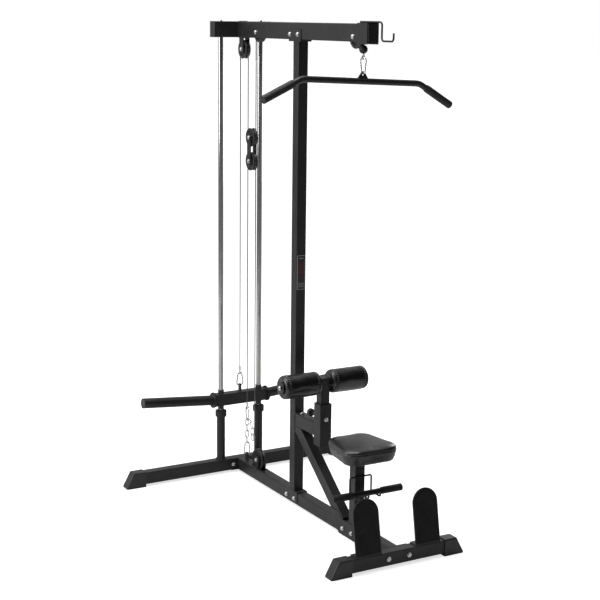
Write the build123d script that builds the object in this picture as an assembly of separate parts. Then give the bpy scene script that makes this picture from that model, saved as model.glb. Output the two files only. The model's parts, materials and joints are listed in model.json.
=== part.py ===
from build123d import *
import math
import os

# Lat pulldown and low row machine, in millimetres.
# +X is the user's right hand side seen from the front, -Y is the front (foot plates, seat, pull bars),
# +Y is the rear (guide rods and weight carriage), +Z is up. The origin is the centre of the footprint
# on the floor.

# ---------------------------------------------------------------- driving dimensions
TUBE = 50.0                 # width of every square and rectangular frame tube
BASE_H = 60.0               # height of the base tubes
BOOM_H = 75.0               # height of the boom and of the top cross tube
WALL = 3.0
CORNER = 4.0                # outer corner radius of the frame tubes
HALF = TUBE / 2
PLATE = 3.0                 # saddle and bracket plates

BASE_Z = 12.0               # underside of the base tubes, above the floor on their end caps
BASE_TOP = BASE_Z + BASE_H
HEIGHT = 2250.0             # floor to the top of the boom
BOOM_Z = HEIGHT - BOOM_H

POST_Y = 140.0              # centre of the upright post
REAR_Y = POST_Y + 581.0     # centre line of rear base tube, guide rods and top cross tube
FRONT_Y = POST_Y - 854.0    # centre line of the front base tube
BOOM_FRONT = POST_Y - 593.0
RAIL_JOINT = POST_Y - 47.0  # where the rear rail meets the front rail

REAR_HALF = 582.0           # half length of the rear base tube
FRONT_HALF = 285.0          # half length of the front base tube
CROSS_HALF = 149.0          # half length of the top cross tube
CAP_OVER = 50.0             # how far an end cap covers its tube
CAP_WALL = 4.0
CAP_ROUND = 6.0
CAP_SLOPE = 38.0            # how far the cap's foot stands out past its top edge
CAP_REACH = 12.0            # how far the cap's top stands out past the tube

ROD_X = 107.0
ROD_R = 12.5
STOP_R = 21.0
STOP_TOP = 296.0
BUMPER_TOP = 329.5
BUMPER_R = 28.0

CARRIAGE_Z = 385.0          # centre of the carriage crossbar at rest
CROSSBAR_H = 60.0
BUSH_BORE = 15.0            # bore of the crossbar's end blocks, for the guide bushes
BUSH_HALF = 50.0            # from the carriage's middle to the bushes' outer ends
BUSH_GAP = 0.05             # radial running clearance of bushes, pulleys and rollers on steel
HORN_R = 25.0
HORN_TILT = 5.0             # degrees that each plate horn rises outwards
HORN_START = 150.0
HORN_LENGTH = 381.0
COLLAR_R = 39.0
COLLAR_T = 8.0

CABLE_R = 2.5
PULLEY_R = 45.0
PULLEY_W = 24.0
RIM = 5.0                   # rim height above the cable's centre line
BUSH_R = 8.0
BOLT_R = 5.0
BOLT_CLEAR = 0.2
HEAD_R = 8.5
HEAD_H = 5.5
HEAD_ROUND = 3.0            # edge radius of the button heads
SOCKET_ACROSS = 6.0
SOCKET_DEEP = 3.0
WASHER_R = 10.5
WASHER_T = 1.5

GROOVE = PULLEY_R - RIM     # cable centre line radius on a standard pulley
STRAND_D = REAR_Y - 4 * GROOVE              # strand from the rear boom pulley, and low pulley strand
STRAND_U = REAR_Y - 2 * GROOVE              # strand from the hanging pulley, and anchored strand
BLOCK_Y = REAR_Y - 3 * GROOVE
BLOCK_TOP_Z = 1704.0
BLOCK_LOW_Z = 1590.0
HANG_Y = REAR_Y - GROOVE
HANG_Z = 2120.0
FRONT_PULLEY_R = 50.0
FRONT_PULLEY_Y = POST_Y - 475.0
FRONT_PULLEY_Z = HEIGHT - 54.0
CABLE_TOP_Z = FRONT_PULLEY_Z + FRONT_PULLEY_R - RIM
REAR_PULLEY_Y = STRAND_D - GROOVE
REAR_PULLEY_Z = CABLE_TOP_Z - GROOVE
LOW_R = 55.0
LOW_Y = STRAND_D - (LOW_R - RIM)
LOW_CABLE_Z = 62.0          # the row cable's level inside the rails
LOW_Z = LOW_CABLE_Z + LOW_R - RIM
ROW_PULLEY_R = 30.0
ROW_Y = POST_Y - 620.0      # where the row cable rises to the row bar
ROW_PULLEY_Y = ROW_Y + ROW_PULLEY_R - RIM
ROW_PULLEY_Z = LOW_CABLE_Z + ROW_PULLEY_R - RIM

LAT_Y = FRONT_PULLEY_Y - (FRONT_PULLEY_R - RIM)
LAT_BALL_R = 18.0
LAT_BALL_Z = 2145.0
LAT_BAR_Z = 2014.0
LAT_BAR_R = 13.5
LAT_BAR_STRAIGHT = 327.0
LAT_BAR_TIP = 514.0
LAT_BAR_DROP = 86.0
LAT_GRIP_START = 370.0
LAT_SWIVEL = 9.0            # degrees that the hanging bar is turned about the cable
LAT_TILT = 2.8              # degrees that its right hand end hangs lower
LAT_HOLE_Z = 2044.0

ROW_BALL_R = 15.0
ROW_BALL_Z = 155.0
ROW_BAR_Z = 245.0
ROW_BAR_R = 12.5
ROW_BAR_HALF = 173.0
ROW_HOLE_Z = 226.0
GRIP_T = 3.5                # thickness of the rubber hand grips

SEAT_POST_Y = POST_Y - 537.0
SEAT_BOARD_Z = 394.0
SEAT_BOARD_T = 6.0
SEAT_TOP = 462.0
SEAT_REAR = POST_Y - 424.0
SEAT_FRONT = POST_Y - 692.0
SEAT_REAR_HALF = 92.0
SEAT_FRONT_HALF = 147.0

SLEEVE_Y = POST_Y - 236.0   # roller height sleeve
SLEEVE_W = 60.0
SLEEVE_Z0 = 358.0
SLEEVE_Z1 = 555.0
ARM_Z0 = 395.0
ARM_Z1 = 457.0
ROLLER_Z = 653.0
ROLLER_R = 55.0
ROLLER_X0 = 30.0
ROLLER_X1 = 217.0
AXLE_R = 12.5
INNER_POST = 45.0
INNER_Z0 = 366.0
PIN_Z = 485.0

STRUT_ANGLE = 38.7          # degrees below horizontal
FOOT_X = 150.0
FOOT_W = 126.0
FOOT_H = 243.0
FOOT_LEAN = 10.0            # degrees that the foot plates lean back
FOOT_T = 5.0
GRIP_TAPE_T = 1.0
HOLDER_X = 55.0
HOOK_WIRE_R = 4.0

POST_FOOT_BOLTS = ((POST_Y - 30.0, 40.0), (POST_Y + 42.0, 40.0))
POST_HEAD_BOLTS = ((POST_Y - 20.0, HEIGHT - 52.0), (POST_Y + 50.0, HEIGHT - 52.0))
SEAT_FOOT_BOLTS = ((POST_Y - 467.0, 36.0), (POST_Y - 541.0, 36.0))
ARM_BOLT_Y = POST_Y - 50.0   # upright bolt through the roller arm
SLEEVE_SCREW_Z = 485.0      # button screw on the front of the height sleeve
PULLEYS = {
    "front_boom_pulley": (FRONT_PULLEY_R, FRONT_PULLEY_Y, FRONT_PULLEY_Z),
    "rear_boom_pulley": (PULLEY_R, REAR_PULLEY_Y, REAR_PULLEY_Z),
    "hanging_pulley": (PULLEY_R, HANG_Y, HANG_Z),
    "low_rear_pulley": (LOW_R, LOW_Y, LOW_Z),
    "low_front_pulley": (ROW_PULLEY_R, ROW_PULLEY_Y, ROW_PULLEY_Z),
    "block_upper_pulley": (PULLEY_R, BLOCK_Y, BLOCK_TOP_Z),
    "block_lower_pulley": (PULLEY_R, BLOCK_Y, BLOCK_LOW_Z),
}
BRACKET_IN = 13.5           # inner face of the pulley bracket plates
BRACKET_T = 4.0
BRACKET_OUT = BRACKET_IN + BRACKET_T
CLIP_GAP = 1.0              # a clip's slack in the hole that it hangs in
CARABINER = {"height": 74.0, "wide": 17.0, "narrow": 11.0, "radius": 4.0}
ROW_CLIP = {"height": 52.0, "wide": 11.5, "narrow": 8.0, "radius": 3.0}
CHAIN_WIRE = 2.5
CHAIN_PITCH = 31.0
CHAIN_GAP = 0.3
CHAIN_HALF = (CHAIN_PITCH + 2 * CHAIN_WIRE + CHAIN_GAP) / 2
ANCHOR_CLIP = {"height": 70.0, "wide": 15.0, "narrow": 11.5, "radius": 3.5}
CLIP_SHIFT = 2.8            # how far forward of the chain the upper clip stands, to hold the spare links too
LUG_HOLE_Z = BASE_TOP + 30.0
CHAIN_LINKS = 4
SPARE_TILTS = (66.0, 40.0, 6.0, 0.0)     # degrees from vertical of the spare links, from the clip on

os.makedirs("parts", exist_ok=True)


# ---------------------------------------------------------------- helpers
def box(x0, x1, y0, y1, z0, z1):
    size = Box(x1 - x0, y1 - y0, z1 - z0)
    return Pos((x0 + x1) / 2, (y0 + y1) / 2, (z0 + z1) / 2) * size


def bar(start, end, radius):
    """Round bar between two points."""
    a, b = Vector(*start), Vector(*end)
    base = Plane(origin=a, z_dir=(b - a).normalized())
    return base * Cylinder(radius, (b - a).length, align=(Align.CENTER, Align.CENTER, Align.MIN))


def ring(start, end, outer, inner):
    return bar(start, end, outer) - bar(start, end, inner)


def rounded(solid, along, radius=CORNER):
    """Rounds the four long edges of a box that runs along one axis."""
    return fillet(solid.edges().filter_by(along), radius)


def tube_x(half, y, z0, height, width=TUBE):
    outer = rounded(box(-half, half, y - width / 2, y + width / 2, z0, z0 + height), Axis.X)
    inner = box(-half, half, y - width / 2 + WALL, y + width / 2 - WALL, z0 + WALL, z0 + height - WALL)
    return outer - inner


def tube_y(y0, y1, z0, height):
    outer = rounded(box(-HALF, HALF, y0, y1, z0, z0 + height), Axis.Y)
    inner = box(-HALF + WALL, HALF - WALL, y0, y1, z0 + WALL, z0 + height - WALL)
    return outer - inner


def tube_z(y, z0, z1, width=TUBE, wall=WALL):
    half = width / 2
    outer = rounded(box(-half, half, y - half, y + half, z0, z1), Axis.Z)
    inner = box(-half + wall, half - wall, y - half + wall, y + half - wall, z0, z1)
    return outer - inner


def hole_x(y, z, radius=BOLT_R + BOLT_CLEAR, reach=60.0):
    """Drill that cuts a cross hole through a tube."""
    return bar((-reach, y, z), (reach, y, z), radius)


def hex_prism(centre, direction, across, height):
    base = Plane(origin=Vector(*centre), z_dir=Vector(*direction))
    return base * extrude(RegularPolygon(across / math.sqrt(3), 6), height)


def screw(start, end):
    """Button head screw from start to end, with a washer under its head."""
    a, b = Vector(*start), Vector(*end)
    d = (b - a).normalized()
    crown = a - d * (WASHER_T + HEAD_H)
    head = bar(crown, a - d * WASHER_T, HEAD_R)
    head = fillet(head.edges().filter_by(GeomType.CIRCLE).sort_by_distance(crown)[0], HEAD_ROUND)
    head -= hex_prism(tuple(crown), tuple(d), SOCKET_ACROSS, SOCKET_DEEP)
    return head + bar(a - d * WASHER_T, a, WASHER_R) + bar(a - d * WASHER_T, b, BOLT_R)


def bolt(start, end):
    """Button head bolt through from start to end, with a washer and nut at the end."""
    b = Vector(*end)
    d = (b - Vector(*start)).normalized()
    nut = bar(b, b + d * WASHER_T, WASHER_R) + hex_prism(tuple(b + d * WASHER_T), tuple(d), 17.0, 8.0)
    return screw(start, tuple(b + d * (WASHER_T + 9.0))) + nut


def bent_wire(points, bend, radius):
    """Round wire bent along a chain of points."""
    path = FilletPolyline(*points, radius=bend)
    section = Plane(origin=path @ 0, z_dir=path % 0) * Circle(radius)
    return sweep(section, path=path)


def planar_ring(path_edges, radius):
    """Round wire along edges that join end to end, one swept solid per edge, fused."""
    solid = None
    for edge in path_edges:
        section = Plane(origin=edge @ 0, z_dir=edge % 0) * Circle(radius)
        piece = sweep(section, path=edge)
        solid = piece if solid is None else solid + piece
    return solid


def pear_ring(height, wide, narrow, radius):
    """Closed carabiner ring in the XZ plane: wide bend on top, narrow bend below, centred on Z = 0.

    height is between the outer ends; wide and narrow are the bend radii of the wire's centre line.
    """
    top = height / 2 - radius - wide
    low = -height / 2 + radius + narrow
    lean = math.degrees(math.asin((wide - narrow) / (top - low)))
    with BuildLine(Plane.XZ) as line:
        upper = CenterArc((0, top), wide, -lean, 180 + 2 * lean)
        lower = CenterArc((0, low), narrow, 180 + lean, 180 - 2 * lean)
        Line(upper @ 1, lower @ 0)
        Line(lower @ 1, upper @ 0)
    return planar_ring(line.line.edges(), radius)


def oval_ring(half_length, half_width, radius):
    """Chain link in the XZ plane, long way along Z."""
    straight = half_length - half_width
    with BuildLine(Plane.XZ) as line:
        upper = CenterArc((0, straight), half_width, 0, 180)
        lower = CenterArc((0, -straight), half_width, 180, 180)
        Line(upper @ 1, lower @ 0)
        Line(lower @ 1, upper @ 0)
    return planar_ring(line.line.edges(), radius)


def eye(radius=7.5, wire=2.5):
    """Small round eye at a cable's end, in the XZ plane, centred on the origin."""
    return Rot(90, 0, 0) * Torus(radius, wire)


def save(solid, name):
    export_step(solid, f"parts/{name}.step")


# ---------------------------------------------------------------- base
def base_cap(end_x, y):
    """Rubber foot cap over the +X end of a base tube that ends at end_x."""
    inner = end_x - CAP_OVER
    top = end_x + CAP_REACH
    outline = Polyline(
        (inner, 0), (top + CAP_SLOPE, 0), (top + CAP_SLOPE, 8), (top, BASE_TOP + CAP_WALL),
        (inner, BASE_TOP + CAP_WALL), close=True,
    )
    wedge = extrude(Plane.XZ * make_face(outline), HALF + CAP_WALL, both=True)
    outer_edges = [edge for edge in wedge.edges() if edge.center().Z > 1 and edge.center().X > inner + 1]
    wedge = fillet(outer_edges, CAP_ROUND)
    pocket = box(0, end_x, -HALF, HALF, BASE_Z, BASE_TOP)
    return Pos(0, y, 0) * (wedge - pocket)


def base_caps():
    solids = []
    for end_x, y in ((REAR_HALF, REAR_Y), (FRONT_HALF, FRONT_Y)):
        cap = base_cap(end_x, y)
        solids += [cap, mirror(cap, Plane.YZ)]
    return Compound(solids)


def flange_y(y0, y1, z0, z1, half_x):
    return box(-half_x, half_x, y0, y1, z0, z1)


def rear_rail():
    """Rail from the rear base tube to the rail joint, with its end flange and the cable anchor lug."""
    y1 = REAR_Y - HALF
    rail = tube_y(RAIL_JOINT, y1, BASE_Z, BASE_H)
    rail += flange_y(y1 - 4, y1, BASE_Z, BASE_TOP, 62.0)
    rail -= box(-14, 14, LOW_Y - LOW_R - 4, LOW_Y + LOW_R + 4, BASE_TOP - WALL, BASE_TOP)
    rail -= box(-HALF + WALL, HALF - WALL, y1 - 4, y1, BASE_Z + WALL, BASE_TOP - WALL)
    lug = box(-3, 3, STRAND_U - 13, STRAND_U + 13, BASE_TOP, BASE_TOP + 30)
    lug += bar((-3, STRAND_U, BASE_TOP + 30), (3, STRAND_U, BASE_TOP + 30), 13)
    lug -= hole_x(STRAND_U, BASE_TOP + 30, 7.0)
    rail += lug
    for y, z in POST_FOOT_BOLTS:
        rail -= hole_x(y, z)
    for x in (-50.0, 50.0):
        rail -= bar((x, y1 - 10, 42), (x, y1 + 10, 42), BOLT_R + BOLT_CLEAR)
    return rail


def front_rail():
    """Rail from the rail joint to the front base tube, with a bolting flange at its front."""
    y0 = FRONT_Y + HALF
    rail = tube_y(y0, RAIL_JOINT, BASE_Z, BASE_H)
    rail += flange_y(y0, y0 + 4, BASE_Z, BASE_TOP, 70.0)
    slot = ROW_PULLEY_R + 2.5
    rail -= box(-14, 14, ROW_PULLEY_Y - slot, ROW_PULLEY_Y + slot, BASE_TOP - WALL, BASE_TOP)
    for y, z in SEAT_FOOT_BOLTS:
        rail -= hole_x(y, z)
    for x in (-52.0, 52.0):
        rail -= bar((x, y0 - 10, 42), (x, y0 + 10, 42), BOLT_R + BOLT_CLEAR)
    return rail


def rear_base_tube():
    tube = tube_x(REAR_HALF, REAR_Y, BASE_Z, BASE_H)
    for x in (-50.0, 50.0):
        tube -= bar((x, REAR_Y - 40, 42), (x, REAR_Y + 40, 42), BOLT_R + BOLT_CLEAR)
    return tube


def front_base_tube():
    tube = tube_x(FRONT_HALF, FRONT_Y, BASE_Z, BASE_H)
    for x in (-52.0, 52.0):
        tube -= bar((x, FRONT_Y - 40, 42), (x, FRONT_Y + 40, 42), BOLT_R + BOLT_CLEAR)
    return tube


# ---------------------------------------------------------------- upright, boom and top


def side_plates(y0, y1, z0, z1, bend=8.0):
    """Two side plates with rounded corners, one on each side of a tube."""
    plate = box(-HALF - PLATE, -HALF, y0, y1, z0, z1)
    plate = fillet(plate.edges().filter_by(Axis.X), bend)
    return plate, mirror(plate, Plane.YZ)


def upright_post():
    return tube_z(POST_Y, BASE_TOP, BOOM_Z)


def post_saddle(y0, y1, flat_z0, flat_z1, plate_z0, plate_z1, bolts):
    """Flat plate around the post with a side plate welded along each edge, drilled for its bolts."""
    saddle = box(-HALF - PLATE, HALF + PLATE, y0, y1, flat_z0, flat_z1)
    saddle -= box(-HALF, HALF, POST_Y - HALF, POST_Y + HALF, flat_z0, flat_z1)
    for plate in side_plates(y0, y1, plate_z0, plate_z1, 3.0):
        saddle += plate
    for y, z in bolts:
        saddle -= hole_x(y, z)
    return saddle


def post_saddles():
    """Foot saddle over the rails and head saddle around the boom, welded to the post."""
    foot_top = BASE_TOP + PLATE
    foot = post_saddle(POST_Y - 57, POST_Y + 57, BASE_TOP, foot_top, 22, foot_top, POST_FOOT_BOLTS)
    head = post_saddle(POST_Y - 47, POST_Y + 60, BOOM_Z - 4, BOOM_Z, BOOM_Z - 8, HEIGHT - 28,
                       POST_HEAD_BOLTS)
    return Compound([foot, head])


def boom():
    """Boom with slots underneath for its two pulleys."""
    y1 = REAR_Y - HALF
    tube = tube_y(BOOM_FRONT, y1, BOOM_Z, BOOM_H)
    for y, radius in ((FRONT_PULLEY_Y, FRONT_PULLEY_R), (REAR_PULLEY_Y, PULLEY_R)):
        tube -= box(-14, 14, y - radius - 4, y + radius + 4, BOOM_Z, BOOM_Z + WALL)
    for y, z in POST_HEAD_BOLTS + ((FRONT_PULLEY_Y, FRONT_PULLEY_Z), (REAR_PULLEY_Y, REAR_PULLEY_Z)):
        tube -= hole_x(y, z)
    return tube


def top_cross_tube():
    tube = tube_x(CROSS_HALF, REAR_Y, BOOM_Z, BOOM_H)
    for x in (-ROD_X, ROD_X):
        tube -= bar((x, REAR_Y, BOOM_Z - 1), (x, REAR_Y, HEIGHT + 1), BOLT_R + BOLT_CLEAR)
    return tube


def tube_plugs():
    """Plastic plugs in the boom's front end and the ends of the top cross tube."""
    inset = WALL + 0.2
    boom_plug = box(-HALF, HALF, BOOM_FRONT - 2.5, BOOM_FRONT, BOOM_Z, HEIGHT)
    low, high = BOOM_Z + inset, HEIGHT - inset
    boom_plug += box(-HALF + inset, HALF - inset, BOOM_FRONT, BOOM_FRONT + 15, low, high)
    end = box(CROSS_HALF, CROSS_HALF + 2.5, REAR_Y - HALF, REAR_Y + HALF, BOOM_Z, HEIGHT)
    end += box(CROSS_HALF - 15, CROSS_HALF, REAR_Y - HALF + inset, REAR_Y + HALF - inset, low, high)
    return Compound([boom_plug, end, mirror(end, Plane.YZ)])


# ---------------------------------------------------------------- guide rods and stops
def guide_rods():
    solids = []
    for x in (-ROD_X, ROD_X):
        rod = bar((x, REAR_Y, BASE_TOP), (x, REAR_Y, BOOM_Z), ROD_R)
        rod -= bar((x, REAR_Y, BOOM_Z - 32), (x, REAR_Y, BOOM_Z), BOLT_R + BOLT_CLEAR)
        solids.append(rod)
    return Compound(solids)


def stop_posts():
    """Tubes around the foot of each rod, that carry the rubber bumpers."""
    solids = []
    for x in (-ROD_X, ROD_X):
        post = bar((x, REAR_Y, BASE_TOP), (x, REAR_Y, BASE_TOP + 5), STOP_R + 5)
        post += bar((x, REAR_Y, BASE_TOP + 5), (x, REAR_Y, STOP_TOP), STOP_R)
        post -= bar((x, REAR_Y, BASE_TOP), (x, REAR_Y, STOP_TOP), ROD_R + 0.5)
        solids.append(post)
    return Compound(solids)


def stop_bumpers():
    solids = []
    for x in (-ROD_X, ROD_X):
        bumper = bar((x, REAR_Y, STOP_TOP), (x, REAR_Y, BUMPER_TOP), BUMPER_R)
        bumper = fillet(bumper.edges().filter_by(GeomType.CIRCLE), 5.0)
        bumper -= bar((x, REAR_Y, STOP_TOP), (x, REAR_Y, BUMPER_TOP), ROD_R + 0.5)
        solids.append(bumper)
    return Compound(solids)


# ---------------------------------------------------------------- pulleys
def pulley(radius, y, z):
    """Nylon pulley that turns about X, with a round groove and recessed webs."""
    half = PULLEY_W / 2
    groove = radius - RIM
    seat = CABLE_R + 0.4
    lip = 9.0
    outline = Polyline(
        (BUSH_R + BUSH_GAP, -half), (BUSH_R + 7, -half), (BUSH_R + 9, -half + 5), (groove - 11, -half + 5),
        (groove - 9, -half + 1), (radius - 1, -half + 1), (radius, -half + 2), (radius, -lip),
        (groove, -seat), (groove - seat, -seat), (groove - seat, seat), (groove, seat), (radius, lip),
        (radius, half - 2), (radius - 1, half - 1), (groove - 9, half - 1), (groove - 11, half - 5),
        (BUSH_R + 9, half - 5), (BUSH_R + 7, half), (BUSH_R + BUSH_GAP, half), close=True,
    )
    wheel = revolve(Plane.XY * make_face(outline), Axis.Y)
    return Pos(0, y, z) * Rot(0, 0, 90) * wheel


def spacer_bush(y, z, half):
    return ring((-half, y, z), (half, y, z), BUSH_R, BOLT_R + BOLT_CLEAR)


def frame_bushes():
    inside = HALF - WALL
    solids = [
        spacer_bush(FRONT_PULLEY_Y, FRONT_PULLEY_Z, inside),
        spacer_bush(REAR_PULLEY_Y, REAR_PULLEY_Z, inside),
        spacer_bush(HANG_Y, HANG_Z, BRACKET_IN),
        spacer_bush(LOW_Y, LOW_Z, BRACKET_IN),
        spacer_bush(ROW_PULLEY_Y, ROW_PULLEY_Z, BRACKET_IN),
    ]
    return Compound(solids)


def bracket_plate(y0, y1, z0, z1, bore_y, bore_z, bend):
    plate = box(BRACKET_IN, BRACKET_OUT, y0, y1, z0, z1)
    plate = fillet(plate.edges().filter_by(Axis.X), bend)
    return plate - hole_x(bore_y, bore_z)


def hanging_bracket():
    """Inverted U that carries the hanging pulley under the boom."""
    plate = bracket_plate(HANG_Y - 20, HANG_Y + 20, HANG_Z - 20, BOOM_Z, HANG_Y, HANG_Z, 3.0)
    top = box(-BRACKET_OUT, BRACKET_OUT, HANG_Y - 20, HANG_Y + 20, BOOM_Z - 4, BOOM_Z)
    return plate + mirror(plate, Plane.YZ) + top


def low_brackets():
    """Bracket plates of both low pulleys, welded through the top of the rails."""
    solids = []
    for y, z, radius in ((LOW_Y, LOW_Z, LOW_R), (ROW_PULLEY_Y, ROW_PULLEY_Z, ROW_PULLEY_R)):
        plate = bracket_plate(y - 24, y + 24, BASE_TOP, z + 20, y, z, 6.0)
        foot = box(BRACKET_OUT, HALF, y - 24, y + 24, BASE_TOP, BASE_TOP + 4)
        side = plate + foot
        solids += [side, mirror(side, Plane.YZ)]
    return Compound(solids)


# ---------------------------------------------------------------- floating block
def block_straps():
    solids = []
    for sign in (-1, 1):
        x0, x1 = sorted((sign * BRACKET_IN, sign * BRACKET_OUT))
        strap = box(x0, x1, BLOCK_Y - 17, BLOCK_Y + 17, BLOCK_LOW_Z - 20, BLOCK_TOP_Z + 20)
        strap = fillet(strap.edges().filter_by(Axis.X), 16.0)
        for z in (BLOCK_LOW_Z, BLOCK_TOP_Z):
            strap -= hole_x(BLOCK_Y, z)
        solids.append(strap)
    return Compound(solids)


def block_bushes():
    return Compound([spacer_bush(BLOCK_Y, z, BRACKET_IN) for z in (BLOCK_LOW_Z, BLOCK_TOP_Z)])


def block_bolts():
    return Compound([
        bolt((-BRACKET_OUT, BLOCK_Y, z), (BRACKET_OUT, BLOCK_Y, z)) for z in (BLOCK_LOW_Z, BLOCK_TOP_Z)
    ])


# ---------------------------------------------------------------- carriage
def horn_point(distance):
    """Point on the right horn's axis, at a distance from its inner end."""
    tilt = math.radians(HORN_TILT)
    return (HORN_START + distance * math.cos(tilt), REAR_Y, CARRIAGE_Z + distance * math.sin(tilt))


def carriage_frame():
    """Crossbar with bored end blocks, two plate horns with collars, and the lifting lug, welded into one."""
    low, high = CARRIAGE_Z - CROSSBAR_H / 2, CARRIAGE_Z + CROSSBAR_H / 2
    half = ROD_X - HALF
    frame = tube_x(half, REAR_Y, low, CROSSBAR_H)
    block = rounded(box(half, HORN_START - 2, REAR_Y - HALF, REAR_Y + HALF, low, high), Axis.X)
    block -= bar((ROD_X, REAR_Y, low), (ROD_X, REAR_Y, high), BUSH_BORE)
    horn = ring(horn_point(-4), horn_point(HORN_LENGTH), HORN_R, HORN_R - WALL)
    horn += bar(horn_point(-4), horn_point(COLLAR_T - 4), COLLAR_R) + block
    frame += horn + mirror(horn, Plane.YZ)
    lug = box(-3, 3, REAR_Y - 12, REAR_Y + 12, high, high + 28)
    lug += bar((-3, REAR_Y, high + 28), (3, REAR_Y, high + 28), 12)
    return frame + (lug - hole_x(REAR_Y, high + 28, 7.0))


def carriage_bushes():
    """Nylon guide bushes, one in from each end of each bore."""
    solids = []
    for x in (-ROD_X, ROD_X):
        for sign in (-1, 1):
            inner = (x, REAR_Y, CARRIAGE_Z + sign * 5)
            outer = (x, REAR_Y, CARRIAGE_Z + sign * BUSH_HALF)
            solids.append(ring(inner, outer, BUSH_BORE, ROD_R + BUSH_GAP))
    return Compound(solids)


def horn_caps():
    cap = bar(horn_point(HORN_LENGTH), horn_point(HORN_LENGTH + 3), HORN_R)
    cap += bar(horn_point(HORN_LENGTH - 15), horn_point(HORN_LENGTH), HORN_R - WALL)
    return Compound([cap, mirror(cap, Plane.YZ)])


def carriage_carabiner():
    """Carabiner through the carriage's lug, and the eye and ferrule on the lat cable's end."""
    hole_z = CARRIAGE_Z + CROSSBAR_H / 2 + 28
    bend = hole_z + 7.0 - 4.0 - CLIP_GAP
    centre = bend + CARABINER["height"] / 2 - 4.0
    clip = Pos(0, REAR_Y, centre) * Rot(180, 0, 0) * pear_ring(**CARABINER)
    top = centre + CARABINER["height"] / 2
    eye_z = top - 8.0 + 7.5 - 2.5 - 0.5
    cable_eye = Pos(0, REAR_Y, eye_z) * Rot(0, 0, 90) * eye()
    cable_eye += bar((0, REAR_Y, eye_z + 7.5), (0, REAR_Y, eye_z + 30), 5.0)
    return Compound([clip, cable_eye]), eye_z + 30


# ---------------------------------------------------------------- lat pull end
def lat_ball_stop():
    ball = Pos(0, LAT_Y, LAT_BALL_Z) * Sphere(LAT_BALL_R)
    return ball - bar((0, LAT_Y, LAT_BALL_Z), (0, LAT_Y, LAT_BALL_Z + 30), CABLE_R + 0.2)


def about_cable(solid, y, angle):
    """Turns a hanging piece about the vertical cable line at y."""
    return Pos(0, y, 0) * Rot(0, 0, angle) * Pos(0, -y, 0) * solid


def lat_carabiner():
    """Carabiner under the ball stop, with the cable's eye between them."""
    bend = LAT_HOLE_Z + 7.0 - 4.0 - CLIP_GAP
    centre = bend + CARABINER["height"] / 2 - 4.0
    clip = Pos(0, LAT_Y, centre) * Rot(0, 0, 90) * pear_ring(**CARABINER)
    eye_z = centre + CARABINER["height"] / 2 - 8.0 + 7.5 - 2.5 - 0.5
    cable_eye = Pos(0, LAT_Y, eye_z) * eye()
    cable_eye += bar((0, LAT_Y, eye_z + 7.5), (0, LAT_Y, LAT_BALL_Z - LAT_BALL_R + 1.0), 5.0)
    cable_eye -= Pos(0, LAT_Y, LAT_BALL_Z) * Sphere(LAT_BALL_R)
    return about_cable(Compound([clip, cable_eye]), LAT_Y, LAT_SWIVEL)


def lat_bar_turn(solid):
    """Tilts the lat bar about its plate's hole, then turns it about the cable."""
    tilted = Pos(0, LAT_Y, LAT_HOLE_Z) * Rot(0, LAT_TILT, 0) * Pos(0, -LAT_Y, -LAT_HOLE_Z) * solid
    return about_cable(tilted, LAT_Y, LAT_SWIVEL)


def lat_bar():
    """Bent pulldown bar with its welded hanging plate."""
    points = [
        (-LAT_BAR_TIP, LAT_Y, LAT_BAR_Z - LAT_BAR_DROP), (-LAT_BAR_STRAIGHT, LAT_Y, LAT_BAR_Z),
        (LAT_BAR_STRAIGHT, LAT_Y, LAT_BAR_Z), (LAT_BAR_TIP, LAT_Y, LAT_BAR_Z - LAT_BAR_DROP),
    ]
    tube = bent_wire(points, 90.0, LAT_BAR_R)
    corners = ((-38, LAT_BAR_Z), (38, LAT_BAR_Z), (11, LAT_HOLE_Z + 4), (-11, LAT_HOLE_Z + 4))
    outline = Polyline(*corners, close=True)
    plate = extrude(Plane.XZ * make_face(outline), 3.0, both=True)
    plate = Pos(0, LAT_Y, 0) * plate
    plate += bar((0, LAT_Y - 3, LAT_HOLE_Z), (0, LAT_Y + 3, LAT_HOLE_Z), 12.0)
    plate -= bar((0, LAT_Y - 5, LAT_HOLE_Z), (0, LAT_Y + 5, LAT_HOLE_Z), 7.0)
    return lat_bar_turn(tube + plate)


def lat_bar_grips():
    """Rubber grips over the bent ends, closed at the tips."""
    slope = LAT_BAR_DROP / (LAT_BAR_TIP - LAT_BAR_STRAIGHT)
    start = (LAT_GRIP_START, LAT_Y, LAT_BAR_Z - (LAT_GRIP_START - LAT_BAR_STRAIGHT) * slope)
    tip = (LAT_BAR_TIP, LAT_Y, LAT_BAR_Z - LAT_BAR_DROP)
    end = (tip[0] + 4, LAT_Y, tip[2] - 4 * slope)
    grip = bar(start, end, LAT_BAR_R + GRIP_T) - bar(start, tip, LAT_BAR_R)
    return lat_bar_turn(Compound([grip, mirror(grip, Plane.YZ)]))


# ---------------------------------------------------------------- row pull end


def row_ball_stop():
    ball = Pos(0, ROW_Y, ROW_BALL_Z) * Sphere(ROW_BALL_R)
    return ball - bar((0, ROW_Y, ROW_BALL_Z), (0, ROW_Y, ROW_BALL_Z - 30), CABLE_R + 0.2)


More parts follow.
